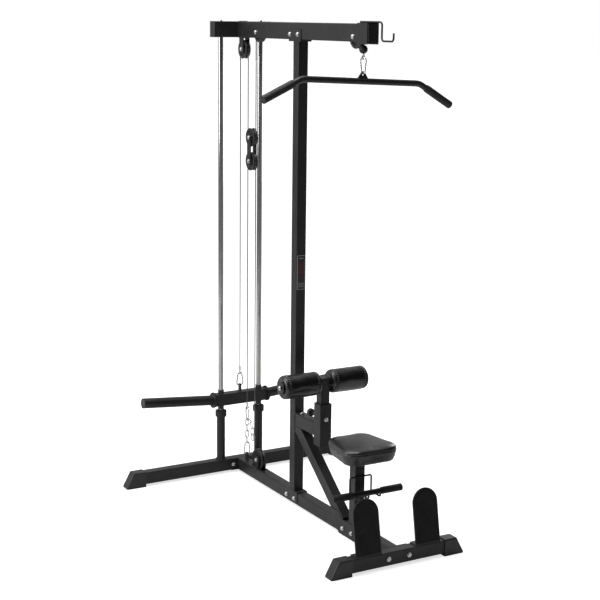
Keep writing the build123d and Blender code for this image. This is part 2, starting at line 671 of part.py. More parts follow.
def row_carabiner():
    """Carabiner between the row cable's eye and the row bar's tab."""
    bend = ROW_HOLE_Z - 5.5 + 3.0 + CLIP_GAP
    centre = bend - ROW_CLIP["height"] / 2 + 3.0
    clip = Pos(0, ROW_Y, centre) * Rot(0, 0, 90) * Rot(180, 0, 0) * pear_ring(**ROW_CLIP)
    low = centre - ROW_CLIP["height"] / 2 + 6.0
    eye_z = low - 6.0 + 2.0 + 0.5
    cable_eye = Pos(0, ROW_Y, eye_z) * eye(6.0, 2.0)
    cable_eye += bar((0, ROW_Y, ROW_BALL_Z + 10), (0, ROW_Y, eye_z - 6.0), 3.5)
    cable_eye -= Pos(0, ROW_Y, ROW_BALL_Z) * Sphere(ROW_BALL_R)
    return Compound([clip, cable_eye])


def row_bar():
    """Straight row bar with a tab below its middle."""
    tube = bar((-ROW_BAR_HALF, ROW_Y, ROW_BAR_Z), (ROW_BAR_HALF, ROW_Y, ROW_BAR_Z), ROW_BAR_R)
    tab = box(-12, 12, ROW_Y - 2.5, ROW_Y + 2.5, ROW_HOLE_Z, ROW_BAR_Z)
    tab += bar((0, ROW_Y - 2.5, ROW_HOLE_Z), (0, ROW_Y + 2.5, ROW_HOLE_Z), 12.0)
    tab -= bar((0, ROW_Y - 5, ROW_HOLE_Z), (0, ROW_Y + 5, ROW_HOLE_Z), 5.5)
    return tube + tab


def row_bar_grips():
    start = (75, ROW_Y, ROW_BAR_Z)
    end = (ROW_BAR_HALF + 4, ROW_Y, ROW_BAR_Z)
    grip = bar(start, end, ROW_BAR_R + GRIP_T) - bar(start, (ROW_BAR_HALF, ROW_Y, ROW_BAR_Z), ROW_BAR_R)
    return Compound([grip, mirror(grip, Plane.YZ)])


# ---------------------------------------------------------------- anchored end of the row cable


def chain_link(centre, tilt, crosswise):
    """One link at a centre, its long way leant by tilt degrees from vertical towards -Y going down."""
    link = oval_ring(CHAIN_HALF, 8.5, CHAIN_WIRE)
    if crosswise:
        link = Rot(0, 0, 90) * link
    return Pos(*centre) * Rot(-tilt, 0, 0) * link


def lower_clip_centre():
    return LUG_HOLE_Z + 7.0 - CLIP_GAP - 2 * ANCHOR_CLIP["radius"] + ANCHOR_CLIP["height"] / 2


def first_link_z():
    """Centre of the lowest chain link, whose lower wire lies in the lower clip's top bend."""
    top_wire = lower_clip_centre() + ANCHOR_CLIP["height"] / 2 - ANCHOR_CLIP["radius"]
    return top_wire - ANCHOR_CLIP["radius"] - CHAIN_WIRE - CHAIN_GAP + CHAIN_HALF


def anchor_clip_lower():
    return Pos(0, STRAND_U, lower_clip_centre()) * Rot(180, 0, 0) * pear_ring(**ANCHOR_CLIP)


def upper_clip_centre():
    top_wire = first_link_z() + (CHAIN_LINKS - 1) * CHAIN_PITCH + CHAIN_HALF
    inside = ANCHOR_CLIP["narrow"] - ANCHOR_CLIP["radius"] - CHAIN_WIRE - CHAIN_GAP
    drop = ANCHOR_CLIP["narrow"] - math.sqrt(inside ** 2 - CLIP_SHIFT ** 2)
    low = top_wire - drop
    return low + ANCHOR_CLIP["height"] / 2 - ANCHOR_CLIP["radius"]


def anchor_chain():
    """Four links between the clips, and the spare links that hang beside them."""
    solids = []
    for number in range(CHAIN_LINKS):
        centre = (0, STRAND_U, first_link_z() + number * CHAIN_PITCH)
        solids.append(chain_link(centre, 0, number % 2 == 0))
    y, z = STRAND_U - 2 * CLIP_SHIFT, first_link_z() + (CHAIN_LINKS - 1) * CHAIN_PITCH + CHAIN_HALF
    slack = CHAIN_WIRE + CHAIN_GAP
    for number, tilt in enumerate(SPARE_TILTS):
        lean = math.radians(tilt)
        reach = CHAIN_HALF - (0 if number == 0 else slack)
        centre = (0, y - reach * math.sin(lean), z - reach * math.cos(lean))
        solids.append(chain_link(centre, tilt, number % 2 == 1))
        y = centre[1] - (CHAIN_HALF - slack) * math.sin(lean)
        z = centre[2] - (CHAIN_HALF - slack) * math.cos(lean)
    return Compound(solids)


def anchor_clip_upper():
    """Upper clip, with the eye and ferrule on the row cable's end."""
    centre = upper_clip_centre()
    clip = Pos(0, STRAND_U - CLIP_SHIFT, centre) * Rot(0, 0, 90) * pear_ring(**ANCHOR_CLIP)
    eye_z = centre + ANCHOR_CLIP["height"] / 2 - 7.0 + 7.5 - 2.5 - 1.3
    cable_eye = Pos(0, STRAND_U, eye_z) * eye()
    cable_eye += bar((0, STRAND_U, eye_z + 7.5), (0, STRAND_U, eye_z + 30), 5.0)
    return Compound([clip, cable_eye]), eye_z + 30


# ---------------------------------------------------------------- cables
def cable(edges, name):
    """Tight steel cable along straight runs and pulley arcs, one solid."""
    path = Wire(edges)
    section = Plane(origin=path @ 0, z_dir=path % 0) * Circle(CABLE_R)
    solid = sweep(section, path=path)
    area = math.pi * CABLE_R ** 2
    print(name, "length", round(path.length), "volume over section", round(solid.volume / area))
    return solid


def lat_cable(carriage_end):
    """From the ball stop over both boom pulleys, under the block and over the hanging pulley."""
    r_front = FRONT_PULLEY_R - RIM
    with BuildLine(Plane.YZ) as line:
        Line((LAT_Y, LAT_BALL_Z + 1), (LAT_Y, FRONT_PULLEY_Z))
        CenterArc((FRONT_PULLEY_Y, FRONT_PULLEY_Z), r_front, 180, -90)
        Line((FRONT_PULLEY_Y, CABLE_TOP_Z), (REAR_PULLEY_Y, CABLE_TOP_Z))
        CenterArc((REAR_PULLEY_Y, REAR_PULLEY_Z), GROOVE, 90, -90)
        Line((STRAND_D, REAR_PULLEY_Z), (STRAND_D, BLOCK_TOP_Z))
        CenterArc((BLOCK_Y, BLOCK_TOP_Z), GROOVE, 180, 180)
        Line((STRAND_U, BLOCK_TOP_Z), (STRAND_U, HANG_Z))
        CenterArc((HANG_Y, HANG_Z), GROOVE, 180, -180)
        Line((REAR_Y, HANG_Z), (REAR_Y, carriage_end))
    return cable(line.line.edges(), "lat_cable")


def row_cable(anchor_end):
    """From the row ball under both low pulleys, up over the block and down to the anchor."""
    r_low = LOW_R - RIM
    r_row = ROW_PULLEY_R - RIM
    with BuildLine(Plane.YZ) as line:
        Line((ROW_Y, ROW_BALL_Z - 1), (ROW_Y, ROW_PULLEY_Z))
        CenterArc((ROW_PULLEY_Y, ROW_PULLEY_Z), r_row, 180, 90)
        Line((ROW_PULLEY_Y, LOW_CABLE_Z), (LOW_Y, LOW_CABLE_Z))
        CenterArc((LOW_Y, LOW_Z), r_low, 270, 90)
        Line((STRAND_D, LOW_Z), (STRAND_D, BLOCK_LOW_Z))
        CenterArc((BLOCK_Y, BLOCK_LOW_Z), GROOVE, 180, -180)
        Line((STRAND_U, BLOCK_LOW_Z), (STRAND_U, anchor_end))
    return cable(line.line.edges(), "row_cable")


# ---------------------------------------------------------------- rollers
def roller_bracket():
    """Arm from the post to the height sleeve, with a weld plate at the post."""
    y_post = POST_Y - HALF
    arm = tube_y(SLEEVE_Y + SLEEVE_W / 2, y_post - 4, ARM_Z0, ARM_Z1 - ARM_Z0)
    arm += box(-HALF, HALF, y_post - 4, y_post, ARM_Z0, ARM_Z1)
    half = SLEEVE_W / 2
    arm += rounded(box(-half, half, SLEEVE_Y - half, SLEEVE_Y + half, SLEEVE_Z0, SLEEVE_Z1), Axis.Z)
    inner = INNER_POST / 2 + 1.0
    arm -= box(-inner, inner, SLEEVE_Y - inner, SLEEVE_Y + inner, SLEEVE_Z0, SLEEVE_Z1)
    drill = BOLT_R + BOLT_CLEAR
    arm -= bar((0, ARM_BOLT_Y, ARM_Z0), (0, ARM_BOLT_Y, ARM_Z1), drill)
    arm -= bar((0, SLEEVE_Y - half, SLEEVE_SCREW_Z), (0, SLEEVE_Y, SLEEVE_SCREW_Z), drill)
    arm += ring((0, SLEEVE_Y + half, PIN_Z), (0, SLEEVE_Y + half + 22, PIN_Z), 9.0, 6.1)
    arm -= bar((0, SLEEVE_Y, PIN_Z), (0, SLEEVE_Y + half + 22, PIN_Z), 6.1)
    return arm


def strut():
    """Diagonal brace from the post down to the front rail."""
    lean = math.radians(STRUT_ANGLE)
    top_y, top_z = POST_Y - 58.0, 375.0
    reach = 700.0
    body = rounded(Box(TUBE, reach, TUBE), Axis.Y) - Box(TUBE - 2 * WALL, reach, TUBE - 2 * WALL)
    middle = Pos(0, top_y - 150 * math.cos(lean), top_z - 150 * math.sin(lean))
    body = middle * Rot(STRUT_ANGLE, 0, 0) * body
    y_post = POST_Y - HALF
    body &= box(-HALF, HALF, SEAT_POST_Y + HALF, y_post, BASE_TOP, 1000)
    body -= box(-HALF, HALF, y_post - 500, y_post, ARM_Z0, 1000)
    return body


def roller_post():
    """Inner height post with the welded roller axle."""
    post = tube_z(SLEEVE_Y, INNER_Z0, ROLLER_Z + AXLE_R + 8, INNER_POST, 2.5)
    post += box(-INNER_POST / 2, INNER_POST / 2, SLEEVE_Y - INNER_POST / 2, SLEEVE_Y + INNER_POST / 2,
                ROLLER_Z + AXLE_R + 8, ROLLER_Z + AXLE_R + 11)
    for number in range(6):
        z = PIN_Z - 100 + number * 25
        post -= bar((0, SLEEVE_Y, z), (0, SLEEVE_Y + 60, z), 5.5)
    post += bar((-ROLLER_X1, SLEEVE_Y, ROLLER_Z), (ROLLER_X1, SLEEVE_Y, ROLLER_Z), AXLE_R)
    return post


def roller_pad(sign):
    x0, x1 = sorted((sign * ROLLER_X0, sign * (ROLLER_X1 - 1)))
    pad = bar((x0, SLEEVE_Y, ROLLER_Z), (x1, SLEEVE_Y, ROLLER_Z), ROLLER_R)
    pad = fillet(pad.edges().filter_by(GeomType.CIRCLE), 6.0)
    return pad - bar((x0, SLEEVE_Y, ROLLER_Z), (x1, SLEEVE_Y, ROLLER_Z), AXLE_R + 0.3)


def roller_end_caps():
    """Retaining caps with a button bolt on the axle's ends."""
    cap = bar((ROLLER_X1, SLEEVE_Y, ROLLER_Z), (ROLLER_X1 + 4, SLEEVE_Y, ROLLER_Z), 27.0)
    cap += bar((ROLLER_X1 + 4, SLEEVE_Y, ROLLER_Z), (ROLLER_X1 + 8, SLEEVE_Y, ROLLER_Z), 8.0)
    return Compound([cap, mirror(cap, Plane.YZ)])


def pop_pin():
    """Pull pin with its round knob behind the height sleeve."""
    face = SLEEVE_Y + INNER_POST / 2 + 0.4
    mouth = SLEEVE_Y + SLEEVE_W / 2 + 22
    pin = bar((0, face, PIN_Z), (0, mouth + 47, PIN_Z), 5.0)
    pin += bar((0, mouth + 1, PIN_Z), (0, mouth + 12, PIN_Z), 8.0)
    knob = bar((0, mouth + 43, PIN_Z), (0, mouth + 65, PIN_Z), 18.0)
    return pin + fillet(knob.edges().filter_by(GeomType.CIRCLE), 6.0)


# ---------------------------------------------------------------- seat
def seat_post():
    """Seat post with its foot saddle over the front rail and a top plate."""
    post = tube_z(SEAT_POST_Y, BASE_TOP, SEAT_BOARD_Z - 4)
    post += box(-60, 60, SEAT_POST_Y - 60, SEAT_POST_Y + 60, SEAT_BOARD_Z - 4, SEAT_BOARD_Z)
    rear = POST_Y - 357.0
    with BuildLine(Plane.YZ) as line:
        Polyline((SEAT_POST_Y - 28, 6), (POST_Y - 436, 6), (rear - 20, 60), (rear, 104), (rear - 58, 104))
        Bezier((rear - 58, 104), (rear - 92, 104), (rear - 84, 76), (rear - 120, 76))
        Polyline((rear - 120, 76), (SEAT_POST_Y - 28, 76), (SEAT_POST_Y - 28, 6))
    outline = make_face(line.line)
    for x0 in (-HALF - PLATE, HALF):
        post += Pos(x0, 0, 0) * extrude(outline, PLATE)
    for y, z in SEAT_FOOT_BOLTS:
        post -= hole_x(y, z)
    return post


def seat_board():
    return box(-85, 85, SEAT_FRONT + 45, SEAT_REAR - 30, SEAT_BOARD_Z, SEAT_BOARD_Z + SEAT_BOARD_T)


def seat_pad():
    """Tapered cushion, wide at the front, with rounded corners and edges."""
    outline = Polyline(
        (-SEAT_REAR_HALF, SEAT_REAR), (SEAT_REAR_HALF, SEAT_REAR), (SEAT_FRONT_HALF, SEAT_FRONT),
        (-SEAT_FRONT_HALF, SEAT_FRONT), close=True,
    )
    pad = extrude(make_face(outline), SEAT_TOP - SEAT_BOARD_Z - SEAT_BOARD_T)
    pad = fillet(pad.edges().filter_by(Axis.Z), 50.0)
    pad = fillet(pad.edges().filter_by(Plane.XY, reverse=False).group_by(Axis.Z)[-1], 12.0)
    return Pos(0, 0, SEAT_BOARD_Z + SEAT_BOARD_T) * pad


# ---------------------------------------------------------------- bar holders and foot plates
def bar_hook():
    """Wire hook for the lat bar, welded to a saddle over the boom's front end."""
    y1 = BOOM_FRONT + 81
    hook = box(-HALF - PLATE, HALF + PLATE, BOOM_FRONT + 3, y1, HEIGHT, HEIGHT + PLATE)
    for plate in side_plates(BOOM_FRONT + 3, y1, BOOM_Z - 9, HEIGHT + PLATE, 2.9):
        hook += plate
    z = HEIGHT + PLATE + HOOK_WIRE_R - 0.2
    low = BOOM_Z + 6
    drop, tip = BOOM_FRONT - 64, BOOM_FRONT - 150
    points = [(0, y1 + 18, z), (0, drop, z), (0, drop, low), (0, tip, low), (0, tip, low + 33)]
    return hook + bent_wire(points, 14.0, HOOK_WIRE_R)


def row_bar_holder():
    """Bent wire on the seat post's front, with an open hook on each leg for the row bar."""
    y = SEAT_POST_Y - HALF - HOOK_WIRE_R
    seat_z = ROW_BAR_Z - ROW_BAR_R - HOOK_WIRE_R - 0.4
    lip = ROW_Y - ROW_BAR_R - HOOK_WIRE_R - 4.5
    points = [(-HOLDER_X, lip, seat_z + 11), (-HOLDER_X, lip, seat_z), (-HOLDER_X, y, seat_z),
              (-HOLDER_X, y, 305), (HOLDER_X, y, 305), (HOLDER_X, y, seat_z), (HOLDER_X, lip, seat_z),
              (HOLDER_X, lip, seat_z + 11)]
    return bent_wire(points, 9.0, HOOK_WIRE_R)


def foot_plate_turn(solid, x):
    """Leans a plate drawn upright at the origin back from the front base tube's top front edge."""
    return Pos(x, FRONT_Y - HALF + FOOT_T, BASE_TOP) * Rot(-FOOT_LEAN, 0, 0) * solid


def round_top_panel(width, height, bottom, thick):
    radius = width / 2
    panel = Pos(0, 0, (bottom + height - radius) / 2) * Box(width, thick, height - radius - bottom)
    disc = Pos(0, 0, height - radius) * Rot(90, 0, 0) * Cylinder(radius, thick)
    cut = Box(4 * radius, 4 * thick, 400, align=(Align.CENTER, Align.CENTER, Align.MAX))
    return panel + (disc - Pos(0, 0, bottom) * cut)


def foot_plates():
    solids = []
    for x in (-FOOT_X, FOOT_X):
        plate = foot_plate_turn(round_top_panel(FOOT_W, FOOT_H, 0, FOOT_T), x)
        plate += box(x - FOOT_W / 2, x + FOOT_W / 2, FRONT_Y - HALF + FOOT_T / 2, FRONT_Y + HALF, BASE_TOP,
                     BASE_TOP + FOOT_T)
        plate -= box(x - FOOT_W, x + FOOT_W, FRONT_Y - 100, FRONT_Y + 100, 0, BASE_TOP)
        solids.append(plate)
    return Compound(solids)


def foot_grips():
    """Grip tape on the foot plates' front faces."""
    solids = []
    for x in (-FOOT_X, FOOT_X):
        tape = round_top_panel(FOOT_W - 10, FOOT_H - 5, 8, GRIP_TAPE_T)
        tape = Pos(0, -(FOOT_T + GRIP_TAPE_T) / 2, 0) * tape
        solids.append(foot_plate_turn(tape, x))
    return Compound(solids)


# ---------------------------------------------------------------- fasteners
def frame_bolts():
    """Every bolt that holds the frame together."""
    out = HALF + PLATE
    solids = []
    for y, z in POST_FOOT_BOLTS + POST_HEAD_BOLTS + SEAT_FOOT_BOLTS:
        solids.append(bolt((-out, y, z), (out, y, z)))
    solids.append(bolt((0, ARM_BOLT_Y, ARM_Z1), (0, ARM_BOLT_Y, ARM_Z0)))
    face = SLEEVE_Y - SLEEVE_W / 2
    solids.append(screw((0, face, SLEEVE_SCREW_Z), (0, face + 5, SLEEVE_SCREW_Z)))
    for x in (-50.0, 50.0):
        solids.append(bolt((x, REAR_Y - HALF - 4, 42), (x, REAR_Y + HALF, 42)))
    for x in (-52.0, 52.0):
        solids.append(bolt((x, FRONT_Y - HALF, 42), (x, FRONT_Y + HALF + 4, 42)))
    return Compound(solids)


def rod_bolts():
    """Bolts down through the top cross tube into the guide rods."""
    solids = []
    for x in (-ROD_X, ROD_X):
        top = (x, REAR_Y, HEIGHT + WASHER_T + HEAD_H)
        head = bar((x, REAR_Y, HEIGHT + WASHER_T), top, HEAD_R)
        head = fillet(head.edges().filter_by(GeomType.CIRCLE).sort_by_distance(Vector(*top))[0], HEAD_ROUND)
        head -= hex_prism(top, (0, 0, -1), SOCKET_ACROSS, SOCKET_DEEP)
        head += bar((x, REAR_Y, HEIGHT), (x, REAR_Y, HEIGHT + WASHER_T), WASHER_R)
        solids.append(head + bar((x, REAR_Y, BOOM_Z - 30), (x, REAR_Y, HEIGHT), BOLT_R))
    return Compound(solids)


def pulley_bolts():
    """Axle bolts of the five pulleys on the frame."""
    solids = []
    for y, z in ((FRONT_PULLEY_Y, FRONT_PULLEY_Z), (REAR_PULLEY_Y, REAR_PULLEY_Z)):
        solids.append(bolt((-HALF, y, z), (HALF, y, z)))
    for y, z in ((HANG_Y, HANG_Z), (LOW_Y, LOW_Z), (ROW_PULLEY_Y, ROW_PULLEY_Z)):
        solids.append(bolt((-BRACKET_OUT, y, z), (BRACKET_OUT, y, z)))
    return Compound(solids)


# ---------------------------------------------------------------- write the nodes
carriage_clip, lat_cable_end = carriage_carabiner()
anchor_clip, row_cable_end = anchor_clip_upper()

NODES = {
    "rear_rail": rear_rail(),
    "front_rail": front_rail(),
    "rear_base_tube": rear_base_tube(),
    "front_base_tube": front_base_tube(),
    "base_end_caps": base_caps(),
    "upright_post": upright_post(),
    "post_saddles": post_saddles(),
    "boom": boom(),
    "top_cross_tube": top_cross_tube(),
    "tube_plugs": tube_plugs(),
    "guide_rods": guide_rods(),
    "stop_posts": stop_posts(),
    "stop_bumpers": stop_bumpers(),
    "frame_bushes": frame_bushes(),
    "hanging_bracket": hanging_bracket(),
    "low_brackets": low_brackets(),
    "block_straps": block_straps(),
    "block_bushes": block_bushes(),
    "block_bolts": block_bolts(),
    "carriage_frame": carriage_frame(),
    "carriage_bushes": carriage_bushes(),
    "horn_caps": horn_caps(),
    "carriage_carabiner": carriage_clip,
    "lat_ball_stop": lat_ball_stop(),
    "lat_carabiner": lat_carabiner(),
    "lat_bar": lat_bar(),
    "lat_bar_grips": lat_bar_grips(),
    "row_ball_stop": row_ball_stop(),
    "row_carabiner": row_carabiner(),
    "row_bar": row_bar(),
    "row_bar_grips": row_bar_grips(),
    "anchor_carabiner_lower": anchor_clip_lower(),
    "anchor_chain": anchor_chain(),
    "anchor_carabiner_upper": anchor_clip,
    "lat_cable": lat_cable(lat_cable_end),
    "row_cable": row_cable(row_cable_end),
    "roller_bracket": roller_bracket(),
    "strut": strut(),
    "roller_post": roller_post(),
    "roller_pad_left": roller_pad(-1),
    "roller_pad_right": roller_pad(1),
    "roller_end_caps": roller_end_caps(),
    "pop_pin": pop_pin(),
    "seat_post": seat_post(),
    "seat_board": seat_board(),
    "seat_pad": seat_pad(),
    "bar_hook": bar_hook(),
    "row_bar_holder": row_bar_holder(),
    "foot_plates": foot_plates(),
    "foot_grips": foot_grips(),
    "frame_bolts": frame_bolts(),
    "rod_bolts": rod_bolts(),
    "pulley_bolts": pulley_bolts(),
}
for pulley_name, (pulley_radius, pulley_y, pulley_z) in PULLEYS.items():
    NODES[pulley_name] = pulley(pulley_radius, pulley_y, pulley_z)

for node_name, node_solid in NODES.items():
    save(node_solid, node_name)
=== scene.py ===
import json
import math

import bmesh
import bpy
from mathutils import Matrix, Vector
from mathutils.bvhtree import BVHTree


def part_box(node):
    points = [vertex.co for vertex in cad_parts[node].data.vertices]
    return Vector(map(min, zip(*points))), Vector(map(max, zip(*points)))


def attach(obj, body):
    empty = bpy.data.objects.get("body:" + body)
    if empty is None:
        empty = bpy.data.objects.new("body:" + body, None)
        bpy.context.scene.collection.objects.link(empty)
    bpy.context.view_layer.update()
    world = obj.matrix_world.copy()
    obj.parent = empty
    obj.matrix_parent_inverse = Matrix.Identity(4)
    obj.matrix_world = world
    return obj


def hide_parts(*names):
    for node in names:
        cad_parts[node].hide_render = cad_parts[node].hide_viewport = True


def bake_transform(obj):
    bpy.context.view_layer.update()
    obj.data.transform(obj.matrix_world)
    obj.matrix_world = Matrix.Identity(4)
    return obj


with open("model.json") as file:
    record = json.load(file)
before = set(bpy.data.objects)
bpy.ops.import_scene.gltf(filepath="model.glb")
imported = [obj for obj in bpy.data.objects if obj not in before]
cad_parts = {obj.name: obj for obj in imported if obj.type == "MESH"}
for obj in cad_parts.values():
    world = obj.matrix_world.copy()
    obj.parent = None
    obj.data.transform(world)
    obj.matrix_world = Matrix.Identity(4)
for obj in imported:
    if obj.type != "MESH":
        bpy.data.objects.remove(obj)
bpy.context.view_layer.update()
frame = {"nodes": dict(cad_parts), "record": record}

# Lat pulldown and low row machine. Metres, in the CAD frame: -Y is the front, +Z is up.
NODES = frame["nodes"]
SCENE = bpy.context.scene
TAU = 2 * math.pi


def middle(node):
    lo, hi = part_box(node)
    return (lo + hi) / 2


# ---------------------------------------------------------------- camera
CAMERA_AT = (-3.139, -5.306, 2.275)
CAMERA_YAW = math.radians(-30.04)
CAMERA_PITCH = math.radians(-11.55)
CAMERA_ROLL = math.radians(0.63)
CAMERA_LENS = 83.19


def make_camera():
    data = bpy.data.cameras.new("Camera")
    data.lens = CAMERA_LENS
    data.sensor_width = 36.0
    data.clip_start, data.clip_end = 0.1, 200.0
    camera = bpy.data.objects.new("Camera", data)
    SCENE.collection.objects.link(camera)
    cy, sy = math.cos(CAMERA_YAW), math.sin(CAMERA_YAW)
    cp, sp = math.cos(CAMERA_PITCH), math.sin(CAMERA_PITCH)
    forward = Vector((-sy * cp, cy * cp, sp))
    right = Vector((cy, sy, 0))
    up = right.cross(forward)
    cr, sr = math.cos(CAMERA_ROLL), math.sin(CAMERA_ROLL)
    x_axis = right * cr + up * sr
    y_axis = up * cr - right * sr
    turn = Matrix((x_axis, y_axis, -forward)).transposed()
    camera.matrix_world = Matrix.Translation(CAMERA_AT) @ turn.to_4x4()
    SCENE.camera = camera


# ---------------------------------------------------------------- materials
class Nodes:
    """Short ways to add shader nodes to one material."""

    def __init__(self, name):
        self.material = bpy.data.materials.new(name)
        self.material.use_nodes = True
        self.tree = self.material.node_tree
        self.shader = self.tree.nodes["Principled BSDF"]
        self.coords = self.tree.nodes.new("ShaderNodeTexCoord")

    def link(self, out, into):
        self.tree.links.new(out, into)

    def set(self, **values):
        for key, value in values.items():
            self.shader.inputs[key.replace("_", " ")].default_value = value

    def noise(self, scale, detail=2.0, stretch=None, source="Object"):
        node = self.tree.nodes.new("ShaderNodeTexNoise")
        node.inputs["Scale"].default_value = scale
        node.inputs["Detail"].default_value = detail
        self.link(self.mapped(stretch, source), node.inputs["Vector"])
        return node.outputs["Fac"]

    def cells(self, scale, feature="DISTANCE_TO_EDGE", stretch=None):
        node = self.tree.nodes.new("ShaderNodeTexVoronoi")
        node.feature = feature
        node.inputs["Scale"].default_value = scale
        self.link(self.mapped(stretch, "Object"), node.inputs["Vector"])
        return node.outputs["Distance"]

    def mapped(self, stretch, source):
        if stretch is None:
            return self.coords.outputs[source]
        node = self.tree.nodes.new("ShaderNodeMapping")
        node.inputs["Scale"].default_value = stretch
        self.link(self.coords.outputs[source], node.inputs["Vector"])
        return node.outputs["Vector"]

    def ramp(self, fac, low, high, start=0.3, end=0.7):
        """Maps fac from start..end to low..high, clamped."""
        node = self.tree.nodes.new("ShaderNodeMapRange")
        for key, value in (("From Min", start), ("From Max", end), ("To Min", low), ("To Max", high)):
            node.inputs[key].default_value = value
        self.link(fac, node.inputs["Value"])
        return node.outputs["Result"]

    def mix(self, fac, first, second):
        """Colour mix. Each of first and second is a colour or an output."""
        node = self.tree.nodes.new("ShaderNodeMix")
        node.data_type = "RGBA"
        self.link(fac, node.inputs["Factor"])
        for socket, value in ((node.inputs[6], first), (node.inputs[7], second)):
            if isinstance(value, tuple):
                socket.default_value = (*value, 1.0)
            else:
                self.link(value, socket)
        return node.outputs[2]

    def maths(self, operation, first, second=None):
        node = self.tree.nodes.new("ShaderNodeMath")
        node.operation = operation
        for socket, value in zip(node.inputs, (first, second)):
            if isinstance(value, (int, float)):
                socket.default_value = value
            elif value is not None:
                self.link(value, socket)
        return node.outputs[0]

    def highlight_edges(self, radius=0.0012):
        """Mask for the painted edge highlight: 0 on flat faces and about 1 on convex edges, with the rounded
        normal itself.
        """
        bevel = self.tree.nodes.new("ShaderNodeBevel")
        bevel.samples = 4
        bevel.inputs["Radius"].default_value = radius
        geometry = self.tree.nodes.new("ShaderNodeNewGeometry")
        dot = self.tree.nodes.new("ShaderNodeVectorMath")
        dot.operation = "DOT_PRODUCT"
        self.link(bevel.outputs["Normal"], dot.inputs[0])
        self.link(geometry.outputs["Normal"], dot.inputs[1])
        return self.ramp(dot.outputs["Value"], 1.0, 0.0, 0.88, 0.995), bevel.outputs["Normal"]

    def bump(self, height, strength, distance, normal=None):
        node = self.tree.nodes.new("ShaderNodeBump")
        node.inputs["Strength"].default_value = strength
        node.inputs["Distance"].default_value = distance
        self.link(height, node.inputs["Height"])
        if normal is not None:
            self.link(normal, node.inputs["Normal"])
        return node.outputs["Normal"]

    def finish(self, colour, roughness, normal):
        self.link(colour, self.shader.inputs["Base Color"])
        self.link(roughness, self.shader.inputs["Roughness"])
        self.link(normal, self.shader.inputs["Normal"])
        return self.material


def powder_coat():
    """Satin black powder coat: faint orange peel, soft mottling and a painted highlight on its edges."""
    n = Nodes("frame_black")
    highlight_mask, edge_normal = n.highlight_edges()
    mottle = n.ramp(n.noise(9.0, 4.0), 0.0, 1.0)
    colour = n.mix(mottle, (0.012, 0.012, 0.0127), (0.018, 0.018, 0.019))
    # Painted highlight: convex edges turn a lighter grey (0.085), broken up by noise.
    painted_edge_highlight = n.maths("MULTIPLY", highlight_mask, n.ramp(n.noise(60.0, 3.0), 0.0, 0.75, 0.42, 0.7))
    colour = n.mix(painted_edge_highlight, colour, (0.085, 0.085, 0.088))
    roughness = n.ramp(n.noise(24.0, 3.0), 0.36, 0.46)
    peel = n.bump(n.noise(1100.0, 1.0), 0.22, 0.0002, edge_normal)
    n.set(Specular_IOR_Level=0.38)
    return n.finish(colour, roughness, peel)


def chrome():
    """Polished chrome with hair lines round the rods and faint handling marks."""
    n = Nodes("chrome")
    n.set(Metallic=1.0)
    colour = n.mix(n.ramp(n.noise(14.0, 3.0), 0.0, 1.0), (0.44, 0.43, 0.42), (0.50, 0.49, 0.48))
    roughness = n.ramp(n.noise(40.0, 4.0, (1, 1, 0.15)), 0.09, 0.14)
    lines = n.bump(n.noise(220.0, 1.0, (0.2, 0.2, 3.0)), 0.006, 0.00003)
    return n.finish(colour, roughness, lines)


def zinc():
    """Bright zinc plate with a slightly cloudy passivation."""
    n = Nodes("zinc")
    n.set(Metallic=1.0)
    clouds = n.ramp(n.noise(160.0, 3.0), 0.0, 1.0)
    colour = n.mix(clouds, (0.66, 0.67, 0.68), (0.80, 0.80, 0.79))
    roughness = n.ramp(n.noise(300.0, 2.0), 0.20, 0.34)
    return n.finish(colour, roughness, n.bump(n.noise(1500.0, 2.0), 0.12, 0.0001))


def turned_steel():
    """Lathe turned steel with fine tool rings."""
    n = Nodes("bush_steel")
    n.set(Metallic=1.0)
    colour = n.mix(n.ramp(n.noise(120.0, 3.0), 0.0, 1.0), (0.50, 0.50, 0.50), (0.60, 0.60, 0.60))
    roughness = n.ramp(n.noise(220.0, 2.0, (4, 1, 1)), 0.26, 0.40)
    return n.finish(colour, roughness, n.bump(n.noise(900.0, 1.0, (5, 1, 1)), 0.15, 0.0001))


def moulded(name, base, light, rough, grain, depth):
    """Moulded black plastic or rubber with a painted highlight on its edges: base and light are its colours,
    grain is the texture's scale.
    """
    n = Nodes(name)
    highlight_mask, edge_normal = n.highlight_edges(0.0016)
    colour = n.mix(n.ramp(n.noise(18.0, 4.0), 0.0, 1.0), base, light)
    # Painted highlight: convex edges lighten towards three times the light colour, broken up by noise.
    painted_edge_sheen = n.maths("MULTIPLY", highlight_mask, n.ramp(n.noise(90.0, 3.0), 0.0, 0.6, 0.45, 0.7))
    colour = n.mix(painted_edge_sheen, colour, tuple(3.0 * c for c in light))
    roughness = n.ramp(n.noise(35.0, 3.0), rough - 0.05, rough + 0.06)
    return n.finish(colour, roughness, n.bump(n.noise(grain, 2.0), depth, 0.0002, edge_normal))


# Vinyl greys: painted shade for the grain's creases, the grain's face, and lighter rubbed patches.
VINYL_GREYS = ((0.008, 0.008, 0.0085), (0.0165, 0.0165, 0.0175), (0.022, 0.022, 0.023))


def vinyl(name, grain, low, high, shade, coat, depth):
    """Black upholstery vinyl: grain cells with fine wrinkles, painted shade in their creases and a soft
    sheen. shade scales its colours.
    """
    n = Nodes(name)
    cells = n.cells(grain)
    creases = n.ramp(cells, 0.0, 1.0, 0.0, 0.12)
    crease_shade, face, rubbed = (tuple(shade * c for c in grey) for grey in VINYL_GREYS)
    # Painted shade: the grain's creases get the darkest grey.
    colour = n.mix(creases, crease_shade, face)
    colour = n.mix(n.ramp(n.noise(12.0, 3.0), 0.0, 0.5), colour, rubbed)
    roughness = n.ramp(n.noise(30.0, 3.0), low, high)
    fine = n.bump(creases, depth, 0.00025)
    folds = n.bump(n.noise(grain / 9, 3.0), depth / 2, 0.001, fine)
    n.set(Coat_Weight=coat, Coat_Roughness=0.2, Specular_IOR_Level=0.55)
    return n.finish(colour, roughness, folds)


